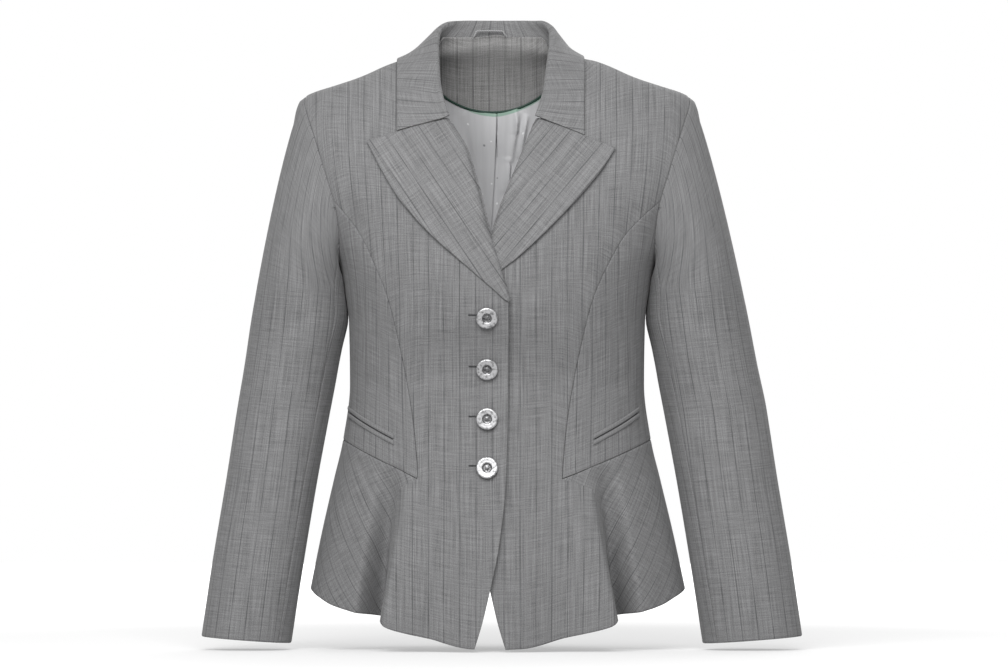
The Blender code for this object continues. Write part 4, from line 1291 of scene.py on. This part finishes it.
def make_facing(materials):
    x = across_back(steps(60))
    low, high = facing_edge(x, PIPING_ROOM - FACING_OVER_PIPING), neck_place(x)
    knots = []
    for rise in FACING_RISES:
        angle, height = lerp(low[0], high[0], rise), lerp(low[1], high[1], rise)
        knots.append(lifted(LEFT, angle, height, FACING_DEPTH))
    seam, roll = stand_lines(x)
    neckward = unit((np.array(FACING_CENTRE) - seam) * (1.0, 1.0, 0.0))
    top = np.clip((FACING_TOP - seam[:, 2]) / (roll - seam)[:, 2], *FACING_TOP_RANGE)[:, None]
    for share in FACING_STAND_RISES:
        room = WALL / 2 + LAYER_GAP + THIN_WALL + FACING_STAND_OFF * share
        knots.append(lerp(seam, roll, top * share) + neckward * room)
    points = rounded(knots, 40)
    uv = np.stack((points[..., 0], run_along(points, 0)), axis=-1) * MM
    toward = np.broadcast_to(neckward, points.shape)
    sew("back_facing", points, toward, uv, materials, THIN_WALL, (CUT, TURNED, CUT, CUT))


LINING_CREASES = rows_of(
    Crease,
    (-46, -64, -30, -150, 6, 3.0),
    (-36, -64, -22, -140, 5, -1.8),
    (20, -140, 8, -250, 9, 1.6),
    (-20, -120, -12, -230, 8, -1.4),
)

# Folds laid over in the lining: the cloth left of each line stands out over the cloth right of it.
LaidFold = namedtuple("LaidFold", "x0 z0 x1 z1 rise width")
LAID_FOLDS = rows_of(
    LaidFold,
    (20, -52, 21, -82, 3.0, 5),
    (24, -58, 14.5, -112, 3.5, 5),
    (32, -62, 24, -108, 4.0, 4),
    (13.5, -106, 10, -144, 4.0, 4),
)
FOLD_BACK = 2.4
FOLD_ENDS = 0.5

# The pleat down the middle of the lining, laid over in the same way but with a lapping edge.
PLEAT = LaidFold(-1.4, -57, -7.5, -190, 9.0, 18)
PLEAT_COLUMN = 100
PLEAT_LAP = 3.0
PLEAT_PULL = 45.0
PLEAT_LAPS = 0.5, -1.0, -0.5
PLEAT_LEAST = 0.04
PLEAT_INSIDE = 0.4
PLEAT_FAR_SIDE = 0.7
PLEAT_MOUTH = Fade(1.6, 1.4)
LINING_DEPTH = -WALL - INSIDE_GAP - LINING_WALL
LINING_UNDER_PIPING = 0.8
LINING_HOLD = 3
LINING_COARSE = 0.45


def laid_folds(points):
    """How far the laid folds lift the lining."""
    push = np.zeros(points.shape[:2])
    x, z = points[..., 0], points[..., 2]
    for fold in LAID_FOLDS:
        run_x, run_z = fold.x1 - fold.x0, fold.z1 - fold.z0
        size = math.hypot(run_x, run_z)
        t = ((x - fold.x0) * run_x + (z - fold.z0) * run_z) / size**2
        past = ((z - fold.z0) * run_x - (x - fold.x0) * run_z) / size
        before = np.exp(np.minimum(past, 0.0) / fold.width)
        lift = np.where(past < 0, before, 1 - ease(past / FOLD_BACK))
        push += fold.rise * lift * np.sin(np.pi * np.clip(t, 0.0, 1.0)) ** FOLD_ENDS
    return push


def lay_pleat(points, normals):
    """The lining with its middle columns carried to the pleat's line and folded there."""
    x, z = points[..., 0], points[..., 2]
    down = (z - PLEAT.z0) / (PLEAT.z1 - PLEAT.z0)
    away = x - x[:, [PLEAT_COLUMN]]
    to_line = (lerp(PLEAT.x0, PLEAT.x1, down) - x)[:, [PLEAT_COLUMN]]
    shift = to_line * np.exp(-((away / PLEAT_PULL) ** 2))
    share = np.maximum(np.sin(np.pi * np.clip(down, 0.0, 1.0)) ** FOLD_ENDS, PLEAT_LEAST)
    lift = PLEAT.rise * share * np.exp(np.minimum(away, 0.0) / PLEAT.width)
    far_side = PLEAT.rise * PLEAT_FAR_SIDE * share * faded(away, PLEAT_MOUTH)
    far_side = far_side * np.exp(-np.maximum(away, 0.0) / PLEAT.width)
    lift[:, PLEAT_COLUMN + 1] *= PLEAT_INSIDE
    lift[:, PLEAT_COLUMN + 2 :] = far_side[:, PLEAT_COLUMN + 2 :]
    for step, lap in enumerate(PLEAT_LAPS):
        shift[:, PLEAT_COLUMN + step] += lap * PLEAT_LAP * share[:, PLEAT_COLUMN]
    laid = points + normals * lift[..., None]
    laid[..., 0] += shift
    return laid


def make_lining(materials):
    def top(t):
        return facing_edge(across_back(t), LINING_UNDER_PIPING - PIPING_ROOM)

    edge = [(p.share, (math.radians(p.angle), p.height)) for p in LINING_SIDE]
    right_side = path(edge + [(1, top(1.0))])

    def left_side(t):
        angle, height = right_side(t)
        return -np.pi - angle, height

    bottom = straight(left_side(0.0), right_side(0.0))
    half = np.linspace(0.0, 0.5, PLEAT_COLUMN + 1)
    across = np.concatenate((half, (0.5, 0.5), 0.5 + half[1:]))
    coarse, fine = np.linspace(0.0, LINING_COARSE, 25), np.linspace(LINING_COARSE, 1.0, 110)
    upward = np.concatenate((coarse, fine[1:]))
    angle, height = patch(bottom, top, left_side, right_side, across, upward, LINING_HOLD)
    points, outward = laid_on(LEFT, angle, height, LINING_DEPTH)
    normals = -outward
    points = lay_pleat(points, normals)
    push = laid_folds(points) + crease_push(points, np.ones_like(angle), LINING_CREASES)
    upward = run_along(points, 0)
    uv = np.stack((points[..., 0], upward - upward[-1:]), axis=-1) * MM
    edges = CUT, CUT, CUT, CUT
    sew("back_lining", points, normals, uv, materials, LINING_WALL, edges, push)


def tube(name, line, radius, sides, material, slot):
    """A round cord along a line of points, closed at both ends. It stands for the CAD node of
    its name."""
    ahead = unit(np.gradient(line, axis=0))
    across = unit(np.cross(ahead, np.array((0.0, 1.0, 0.0))))
    up = np.cross(across, ahead)
    turn = np.linspace(0, 2 * np.pi, sides + 1)[None, :, None]
    points = line[:, None] + radius * (np.cos(turn) * across[:, None] + np.sin(turn) * up[:, None])
    uv = np.broadcast_arrays(turn[..., 0] * radius, run_along(line[:, None], 0))
    uv = np.stack(uv, axis=-1) * MM
    outward = points - line[:, None]
    flip = (grid_normals(points) * outward).sum() < 0
    obj = sheet_mesh(f"{name}_cord", points, uv, flip, [material])
    only(obj)
    bpy.ops.object.mode_set(mode="EDIT")
    bpy.ops.mesh.select_all(action="SELECT")
    bpy.ops.mesh.remove_doubles(threshold=0.00001)
    bpy.ops.mesh.fill_holes(sides=0)
    bpy.ops.mesh.normals_make_consistent(inside=False)
    bpy.ops.object.mode_set(mode="OBJECT")
    obj.data.shade_smooth()
    obj.data.set_sharp_from_angle(angle=CORD_END_ANGLE)
    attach(obj, "root")
    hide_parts(name)


def make_piping(material):
    angle, height = facing_edge(across_back(np.linspace(0.0, 1.0, 121)))
    line = lifted(LEFT, angle, height, -WALL - INSIDE_GAP - PIPING_RADIUS)
    tube("facing_piping", line, PIPING_RADIUS, 14, material, "piping")


def make_loop(material):
    stations = len(COLLAR) - 1
    knots = []
    for x, height, lift in LOOP:
        forward = np.array((0.0, -1.0, 0.0)) * (WALL / 2 + THIN_WALL + LOOP_RADIUS + lift)
        share = abs(x) / COLLAR[1].roll_x / stations
        seam, roll, _ = collar_profile(LEFT if x > 0 else RIGHT, share)
        rise = (height - seam[2]) / (roll[2] - seam[2])
        place = lerp(seam, roll, rise) + forward
        place[0] = x
        knots.append(place[None])
    line = rounded(knots, 60)[:, 0]
    tube("hanger_loop", line, LOOP_RADIUS, 12, material, "suiting")


# Colours
SUITING_DARK = 0.115, 0.115, 0.117, 1
SUITING_LIGHT = 0.25, 0.25, 0.253, 1
STRIPE_DARK = 0.06, 0.06, 0.062, 1
FACING_DARK = 0.15, 0.149, 0.148, 1
FACING_LIGHT = 0.33, 0.327, 0.324, 1
INSIDE_GROUND = 0.34, 0.34, 0.345, 1
NECK_GROUND = 0.56, 0.56, 0.57, 1
# Painted sheen: the shade the lining satin's streaks darken towards.
SATIN_SHADE = 0.16, 0.16, 0.17, 1
DOT_DARK = 0.2, 0.2, 0.21, 1
DOT_PALE = 0.8, 0.8, 0.81, 1
BAND_GREEN = 0.22, 0.36, 0.28, 1
PIPING_DARK = 0.003, 0.022, 0.013, 1
PIPING_LIGHT = 0.008, 0.055, 0.034, 1
LOOP_DARK = 0.2, 0.2, 0.203, 1
LOOP_LIGHT = 0.36, 0.36, 0.364, 1
SILVER_DARK = 0.26, 0.26, 0.265, 1
SILVER_LIGHT = 0.66, 0.66, 0.67, 1
PATINA_DARK = 0.03, 0.03, 0.032, 1
PATINA_LIGHT = 0.24, 0.24, 0.245, 1
# Dark thread of the buttonholes, also used as the painted shade under the pocket slits.
THREAD_AND_SHADE_DARK = 0.015, 0.015, 0.016, 1
THREAD_AND_SHADE_LIGHT = 0.05, 0.05, 0.052, 1
WHITE = 1, 1, 1, 1

# Finishes: pitches and bump depths are in metres, and grains are counted in a metre of cloth.
STRIPE_PITCH = 0.0165
STRIPE_HALF = 0.015, 0.045
STRIPE_GRAIN = 60.0, 34.0
STRIPE_BREAKS = 0.3, 0.65
STRIPE_STRENGTH = 0.3, 0.7
YARN_PITCH = 0.0011
YARN_HEIGHT = 0.2
WARP_GRAIN = 760.0, 16.0
WEFT_GRAIN = 36.0, 720.0
FLECK_GRAIN = 1300.0, 900.0
TONE_LEVEL = -1.42
WARP_CONTRAST = 1.5
WEFT_CONTRAST = 1.05
FLECK_CONTRAST = 1.3
DOTS_PER_METRE = 70.0
DOT_RADIUS = 0.07, 0.11
DOT_STRENGTH = 0.85
DOT_CHANCE = 0.48, 0.52
# Painted sheen of the lining satin, drawn as darker streaks in its colour.
SATIN_GRAIN = 160.0, 12.0
SATIN_SHEEN = 0.2, 0.8
SATIN_DEPTH = 0.16
BAND_EDGE = -0.0042, -0.0028
BAND_STRENGTH = 0.85
CORD_TWIST = {"Scale": 260.0, "Distortion": 0.6}
BEATEN_DETAIL = 3.0
MOTTLE_SPAN = 0.3, 0.55
SILVER_GRAIN = 330.0
PATINA_GRAIN = 700.0
SUITING_FINISH = {
    "Roughness": 0.88, "Specular IOR Level": 0.25, "Sheen Weight": 0.12, "Sheen Roughness": 0.5,
}
SATIN_FINISH = {"Roughness": 0.58, "Specular IOR Level": 0.3}
CORD_FINISH = {"Roughness": 0.5}
SILVER_FINISH = {"Roughness": 0.46, "Metallic": 1.0}
PATINA_FINISH = {"Roughness": 0.42, "Metallic": 1.0}
Bump = namedtuple("Bump", "strength depth")
WEAVE_BUMP = Bump(0.3, 0.0003)
SATIN_BUMP = Bump(0.12, 0.0003)
CORD_BUMP = Bump(0.3, 0.0002)
METAL_BUMP = Bump(0.3, 0.0004)


# Shader nodes
def feed(tree, node, values):
    """Sets or links a node's inputs by their names or numbers."""
    for key, value in values.items():
        if isinstance(value, bpy.types.NodeSocket):
            tree.links.new(value, node.inputs[key])
        else:
            node.inputs[key].default_value = value


def add(tree, kind, values=None, **settings):
    node = tree.nodes.new(kind)
    for key, value in settings.items():
        setattr(node, key, value)
    feed(tree, node, values or {})
    return node


def math_node(tree, operation, first, second=0.0, third=0.0):
    values = {0: first, 1: second, 2: third}
    return add(tree, "ShaderNodeMath", values, operation=operation).outputs[0]


def mapped(tree, value, low, high, to_low=0.0, to_high=1.0):
    values = {"Value": value, "From Min": low, "From Max": high, "To Min": to_low, "To Max": to_high}
    node = add(tree, "ShaderNodeMapRange", values, interpolation_type="SMOOTHSTEP")
    return node.outputs["Result"]


def mixed(tree, share, first, second):
    values = {"Factor": share, 6: first, 7: second}
    return add(tree, "ShaderNodeMix", values, data_type="RGBA").outputs[2]


def split(tree, vector):
    return add(tree, "ShaderNodeSeparateXYZ", {0: vector}).outputs


def noise(tree, vector, grain, detail=2.0):
    """Noise with so many grains a metre across the cloth and along it."""
    values = {0: vector, 1: (*grain, 1.0)}
    scaled = add(tree, "ShaderNodeVectorMath", values, operation="MULTIPLY").outputs[0]
    values = {"Scale": 1.0, "Detail": detail, "Vector": scaled}
    return add(tree, "ShaderNodeTexNoise", values).outputs["Fac"]


def new_group(name, **inputs):
    """A shader group that puts out a colour and a height."""
    tree = bpy.data.node_groups.new(name, "ShaderNodeTree")
    for way, sockets in (("INPUT", inputs), ("OUTPUT", {"Color": "Color", "Height": "Float"})):
        for label, kind in sockets.items():
            tree.interface.new_socket(label, in_out=way, socket_type=f"NodeSocket{kind}")
    return tree, tree.nodes.new("NodeGroupInput").outputs, tree.nodes.new("NodeGroupOutput")


def striped_weave():
    """Grey melange of light and dark yarns with fine dark stripes along the cloth."""
    tree, given, result = new_group("striped weave", Cloth="Vector", Dark="Color", Light="Color")
    cloth = given["Cloth"]
    across, along, _ = split(tree, cloth)
    place = math_node(tree, "FRACT", math_node(tree, "DIVIDE", across, STRIPE_PITCH))
    away = math_node(tree, "ABSOLUTE", math_node(tree, "SUBTRACT", place, 0.5))
    stripe = mapped(tree, away, *STRIPE_HALF, 1.0, 0.0)
    tone = TONE_LEVEL
    for grain, detail, contrast in (
        (WARP_GRAIN, 2.0, WARP_CONTRAST),
        (WEFT_GRAIN, 2.0, WEFT_CONTRAST),
        (FLECK_GRAIN, 1.0, FLECK_CONTRAST),
    ):
        yarns = noise(tree, cloth, grain, detail)
        tone = math_node(tree, "MULTIPLY_ADD", yarns, contrast, tone)
    colour = mixed(tree, tone, given["Dark"], given["Light"])
    broken = mapped(tree, noise(tree, cloth, STRIPE_GRAIN), *STRIPE_BREAKS, *STRIPE_STRENGTH)
    stripe = math_node(tree, "MULTIPLY", stripe, broken)
    turn = 2 * math.pi / YARN_PITCH
    yarn = math_node(tree, "SINE", math_node(tree, "MULTIPLY", across, turn))
    pick = math_node(tree, "SINE", math_node(tree, "MULTIPLY", along, turn))
    weave = math_node(tree, "MULTIPLY", yarn, pick)
    height = math_node(tree, "MULTIPLY_ADD", weave, YARN_HEIGHT, tone)
    feed(tree, result, {"Color": mixed(tree, stripe, colour, STRIPE_DARK), "Height": height})
    return tree


def dotted_satin():
    """Smooth lining with tiny scattered dots, some darker and some paler, and painted sheen: streaks
    of noise darken its ground.
    """
    tree, given, result = new_group("dotted satin", Cloth="Vector", Ground="Color")
    values = {"Scale": DOTS_PER_METRE, "Vector": given["Cloth"]}
    cells = add(tree, "ShaderNodeTexVoronoi", values).outputs
    dot = mapped(tree, cells["Distance"], *DOT_RADIUS, DOT_STRENGTH, 0.0)
    chance = add(tree, "ShaderNodeSeparateColor", {0: cells["Color"]}).outputs[0]
    dots = mixed(tree, mapped(tree, chance, *DOT_CHANCE), DOT_DARK, DOT_PALE)
    # Painted sheen: the noise darkens the ground in streaks towards the shade colour, and also gives
    # the fine relief.
    sheen = noise(tree, given["Cloth"], SATIN_GRAIN)
    shade = mapped(tree, sheen, *SATIN_SHEEN, 0.0, SATIN_DEPTH)
    ground = mixed(tree, shade, given["Ground"], SATIN_SHADE)
    feed(tree, result, {"Color": mixed(tree, dot, ground, dots), "Height": sheen})
    return tree


def new_material(name, finish):
    material = bpy.data.materials.new(name)
    material.use_nodes = True
    tree = material.node_tree
    shader = tree.nodes["Principled BSDF"]
    feed(tree, shader, finish)
    return material, tree, shader


def cloth_map(tree):
    return add(tree, "ShaderNodeUVMap", uv_map="cloth").outputs[0]


def surface(tree, shader, colour, height, bump):
    """Gives a shader its colour and its fine relief."""
    values = {"Strength": bump.strength, "Distance": bump.depth, "Height": height}
    relief = add(tree, "ShaderNodeBump", values).outputs[0]
    feed(tree, shader, {"Base Color": colour, "Normal": relief})


def suiting_material(weave, name, dark, light):
    material, tree, shader = new_material(name, SUITING_FINISH)
    values = {"Cloth": cloth_map(tree), "Dark": dark, "Light": light}
    yarns = add(tree, "ShaderNodeGroup", values, node_tree=weave).outputs
    surface(tree, shader, yarns["Color"], yarns["Height"], WEAVE_BUMP)
    return material


def lining_material(satin, name, ground, edged):
    """Dotted lining, with a pale green band along its top edge where it is edged."""
    material, tree, shader = new_material(name, SATIN_FINISH)
    cloth = cloth_map(tree)
    dots = add(tree, "ShaderNodeGroup", {"Cloth": cloth, "Ground": ground}, node_tree=satin).outputs
    colour = dots["Color"]
    if edged:
        band = mapped(tree, split(tree, cloth)[1], *BAND_EDGE, 0.0, BAND_STRENGTH)
        colour = mixed(tree, band, colour, BAND_GREEN)
    surface(tree, shader, colour, dots["Height"], SATIN_BUMP)
    return material


def cord_material(name, dark, light):
    """Cord wound of fine threads on the slant."""
    material, tree, shader = new_material(name, CORD_FINISH)
    values = {"Vector": cloth_map(tree), **CORD_TWIST}
    twist = add(tree, "ShaderNodeTexWave", values, bands_direction="DIAGONAL").outputs["Fac"]
    surface(tree, shader, mixed(tree, twist, dark, light), twist, CORD_BUMP)
    return material


def metal_material(name, dark, light, finish, grain):
    """Cast metal, softly hammered, its colour mottled between dark and light by the same noise."""
    material, tree, shader = new_material(name, finish)
    place = add(tree, "ShaderNodeTexCoord").outputs["Object"]
    values = {"Scale": grain, "Detail": BEATEN_DETAIL, "Vector": place}
    beaten = add(tree, "ShaderNodeTexNoise", values).outputs["Fac"]
    mottle = mapped(tree, beaten, *MOTTLE_SPAN)
    surface(tree, shader, mixed(tree, mottle, dark, light), beaten, METAL_BUMP)
    return material


# Buttons: rings from the foot on the cloth round the rim to the middle.
RimStep = namedtuple("RimStep", "radius rise")
BUTTON_RINGS = rows_of(
    RimStep,
    (3.0, 0.0), (3.0, 1.8), (9.4, 2.0), (10.8, 2.7), (11.2, 3.7), (10.8, 4.5), (9.9, 4.9), (8.6, 4.8),
    (7.2, 4.6), (5.8, 4.7), (5.0, 4.4), (4.4, 3.4), (2.2, 3.2), (1.7, 3.7), (0.6, 3.8),
)
BUTTON_SIDES = 48
BUTTON_TURN = 0.7
MIDDLE_RADIUS = 4.9
MIDDLE_RISE = 3


def model_button(bright, patina):
    """One button at the origin, built up ring by ring along Z."""
    bpy.ops.object.select_all(action="DESELECT")
    radius = BUTTON_RINGS[0].radius * MM
    bpy.ops.mesh.primitive_circle_add(vertices=BUTTON_SIDES, radius=radius, fill_type="NGON")
    button = bpy.context.object
    bpy.ops.object.mode_set(mode="EDIT")
    bpy.ops.mesh.select_all(action="SELECT")
    for before, after in zip(BUTTON_RINGS, BUTTON_RINGS[1:]):
        move = {"value": (0, 0, (after.rise - before.rise) * MM)}
        bpy.ops.mesh.extrude_region_move(TRANSFORM_OT_translate=move)
        grow = after.radius / before.radius
        bpy.ops.transform.resize(value=(grow, grow, 1), center_override=(0, 0, after.rise * MM))
    bpy.ops.mesh.select_all(action="SELECT")
    bpy.ops.mesh.normals_make_consistent(inside=False)
    bpy.ops.object.mode_set(mode="OBJECT")
    button.data.materials.append(bright)
    button.data.materials.append(patina)
    for face in button.data.polygons:
        inner = math.hypot(face.center.x, face.center.y) / MM < MIDDLE_RADIUS
        face.material_index = 1 if inner and face.center.z > MIDDLE_RISE * MM else 0
    soften = button.modifiers.new("soften", "SUBSURF")
    soften.levels = soften.render_levels = 1
    bpy.ops.object.modifier_apply(modifier="soften")
    button.data.shade_smooth()
    return button


def button_seat(height):
    """The place of a button on the right front and the directions across, up and out of it."""
    angle = angle_at(RIGHT, BUTTON_X, height)
    lift = over_lift(RIGHT, angle, np.asarray(height)) + BUTTON_GAP
    centre, out = laid_on(RIGHT, angle, height, lift)
    across = unit(np.cross(out, np.array((0.0, 0.0, 1.0))))
    return centre, across, np.cross(across, out), out


def make_buttons(bright, patina):
    model = model_button(bright, patina)
    for number, height in enumerate(BUTTON_HEIGHTS, 1):
        centre, across, up, out = button_seat(height)
        button = model.copy()
        button.data = model.data.copy()
        button.name = f"button_{number}_metal"
        bpy.context.scene.collection.objects.link(button)
        basis = Matrix((across, up, out)).transposed().to_4x4()
        basis = basis @ Matrix.Rotation(BUTTON_TURN * number, 4, "Z")
        button.data.transform(Matrix.Translation(Vector(centre * MM)) @ basis)
        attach(button, "root")
        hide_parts(f"button_{number}")
    bpy.data.objects.remove(model)


# Buttonholes
HOLE_START, HOLE_END = -29.5, -5.0
HOLE_RISE = 2.4
HOLE_HALF = 0.85
HOLE_ROUNDING = 1.5
HOLE_THREADS = 4.0
HOLE_WALL = 0.3
LIP_HEIGHT = 0.75
LIP_ROUNDING = 0.8
LIP_SINK = 0.15


def make_buttonholes(thread_and_pocket_shade):
    """A worked hole under each button, two stitched lips with the slit between them."""
    x = np.linspace(HOLE_START, HOLE_END, 60)[None, :]
    share = np.linspace(0.0, 1.0, 17)[:, None]
    ends = ease((x - HOLE_START) / HOLE_ROUNDING) * ease((HOLE_END - x) / HOLE_ROUNDING)
    lips = LIP_HEIGHT * np.abs(np.sin(2 * np.pi * share)) ** LIP_ROUNDING * ends - LIP_SINK
    uv = np.stack(np.broadcast_arrays(x, HOLE_THREADS * share), axis=-1) * MM
    for number, middle in enumerate(BUTTON_HEIGHTS, 1):
        height = np.broadcast_to(middle + HOLE_RISE + lerp(-HOLE_HALF, HOLE_HALF, share), lips.shape)
        angle = angle_at(RIGHT, x, height)
        lift = over_lift(RIGHT, angle, height) + lips
        points, normals = laid_on(RIGHT, angle, height, lift)
        points = points + normals * crease_push(points, -normals[..., 1], FRONT_CREASES)[..., None]
        name = f"buttonhole_{number}_stitches"
        lay_detail(name, points, normals, uv, thread_and_pocket_shade, HOLE_WALL)


# Studio
IMAGE_WIDTH = 1008
MM_PER_PIXEL = 1.03
VIEW_CENTRE = (7.2, -289.4)
CAMERA_DISTANCE = 20000.0
CAMERA_RISE = math.radians(1.0)
SENSOR_WIDTH = 36.0
FLOOR_HEIGHT = -611.5
FLOOR_SIZE = 6.0
FLOOR_TONE = 0.5, 0.5, 0.5, 1
FLOOR_GLOW = 0.41
FLOOR_GLOW_FADE = 0.6, 1.7
ROOM_LIGHT = 0.45
LIGHT_TARGET = 0.0, 0.0, -0.3
LIGHT_SIZE = 2.2, 1.8
Softbox = namedtuple("Softbox", "name place watts")
SOFTBOXES = rows_of(
    Softbox,
    ("front softbox", (-0.35, -2.6, 1.5), 104),
    ("back softbox", (0.5, 2.7, 1.3), 42),
)


def make_camera():
    data = bpy.data.cameras.new("front view")
    data.sensor_width = SENSOR_WIDTH
    data.lens = SENSOR_WIDTH * CAMERA_DISTANCE / (IMAGE_WIDTH * MM_PER_PIXEL)
    data.clip_end = 100.0
    camera = bpy.data.objects.new("front view", data)
    bpy.context.scene.collection.objects.link(camera)
    rise = CAMERA_DISTANCE * math.tan(CAMERA_RISE)
    camera.location = (VIEW_CENTRE[0] * MM, -CAMERA_DISTANCE * MM, (VIEW_CENTRE[1] + rise) * MM)
    camera.rotation_euler = (math.pi / 2 - CAMERA_RISE, 0.0, 0.0)
    bpy.context.scene.camera = camera


def make_softbox(box):
    data = bpy.data.lights.new(box.name, "AREA")
    data.shape = "RECTANGLE"
    data.size, data.size_y = LIGHT_SIZE
    data.energy = box.watts
    light = bpy.data.objects.new(box.name, data)
    bpy.context.scene.collection.objects.link(light)
    light.location = box.place
    aim = Vector(LIGHT_TARGET) - Vector(box.place)
    light.rotation_euler = aim.to_track_quat("-Z", "Y").to_euler()


def seen_directly(tree):
    return add(tree, "ShaderNodeLightPath").outputs["Is Camera Ray"]


def make_room():
    """A white room, which lights the jacket less than it shows in the picture."""
    world = bpy.data.worlds.new("white room")
    bpy.context.scene.world = world
    world.use_nodes = True
    room = world.node_tree
    strength = math_node(room, "MAXIMUM", seen_directly(room), ROOM_LIGHT)
    feed(room, room.nodes["Background"], {"Color": WHITE, "Strength": strength})


def make_floor():
    """A pale floor that takes the jacket's shadow and goes over into the white of the room."""
    bpy.ops.object.select_all(action="DESELECT")
    bpy.ops.mesh.primitive_plane_add(size=FLOOR_SIZE, location=(0, 0, FLOOR_HEIGHT * MM))
    floor = bpy.context.object
    floor.name = "floor"
    finish = {"Roughness": 0.9, "Base Color": FLOOR_TONE, "Emission Color": WHITE}
    material, tree, shader = new_material("pale floor", finish)
    place = add(tree, "ShaderNodeTexCoord").outputs["Object"]
    away = add(tree, "ShaderNodeVectorMath", {0: place}, operation="LENGTH").outputs["Value"]
    glow = mapped(tree, away, *FLOOR_GLOW_FADE, FLOOR_GLOW, 1.0)
    strength = math_node(tree, "MULTIPLY", seen_directly(tree), glow)
    feed(tree, shader, {"Emission Strength": strength})
    floor.data.materials.append(material)
    floor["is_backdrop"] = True


def make_studio():
    make_room()
    for box in SOFTBOXES:
        make_softbox(box)
    make_floor()
    bpy.context.scene.view_settings.view_transform = "Standard"
    bpy.context.scene.view_settings.look = "None"


# The whole jacket
SIDES = ((RIGHT, "right"), (LEFT, "left"))


def sew_jacket():
    weave, satin = striped_weave(), dotted_satin()
    suiting = suiting_material(weave, "striped suiting", SUITING_DARK, SUITING_LIGHT)
    inner = lining_material(satin, "inside lining", INSIDE_GROUND, False)
    cloth = [suiting, inner]
    front_seam, back_seam = sleeve_seams()
    for side, word in SIDES:
        make_front(side, f"front_{word}", cloth)
        make_side_front(side, f"side_front_{word}", cloth)
        make_peplum_front(side, f"peplum_front_{word}", cloth)
        make_back(side, f"back_{word}", cloth)
        make_peplum_back(side, f"peplum_back_{word}", cloth)
        make_sleeve(side, f"upper_sleeve_{word}", front_seam, back_seam, 56, cloth)
        make_sleeve(side, f"under_sleeve_{word}", back_seam, front_seam + 2 * math.pi, 36, cloth)
        make_lapel(side, f"lapel_{word}", [suiting])
        make_welts(side, word, [suiting])
    make_collar([suiting])
    make_facing([suiting_material(weave, "facing cloth", FACING_DARK, FACING_LIGHT)])
    make_lining([lining_material(satin, "neck lining", NECK_GROUND, True)])
    make_piping(cord_material("green piping", PIPING_DARK, PIPING_LIGHT))
    make_loop(cord_material("grey loop cord", LOOP_DARK, LOOP_LIGHT))
    make_buttons(
        metal_material("silver metal", SILVER_DARK, SILVER_LIGHT, SILVER_FINISH, SILVER_GRAIN),
        metal_material("dark silver", PATINA_DARK, PATINA_LIGHT, PATINA_FINISH, PATINA_GRAIN),
    )
    # The hole thread also colours the painted shade under the pocket slits.
    thread_and_pocket_shade = cord_material("hole thread", THREAD_AND_SHADE_DARK, THREAD_AND_SHADE_LIGHT)
    make_buttonholes(thread_and_pocket_shade)
    for side, word in SIDES:
        # Painted shade: a near-black sheet under each pocket slit.
        make_painted_pocket_shade(side, word, thread_and_pocket_shade)


def corners():
    return [[float(x) for x in corner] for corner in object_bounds()]


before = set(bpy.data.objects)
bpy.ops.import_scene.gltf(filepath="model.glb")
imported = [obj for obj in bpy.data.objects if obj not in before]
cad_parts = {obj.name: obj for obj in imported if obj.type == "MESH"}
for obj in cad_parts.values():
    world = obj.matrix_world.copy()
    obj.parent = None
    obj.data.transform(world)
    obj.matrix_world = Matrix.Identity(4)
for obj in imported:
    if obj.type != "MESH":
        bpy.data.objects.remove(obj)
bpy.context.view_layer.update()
make_camera()
sew_jacket()
make_studio()
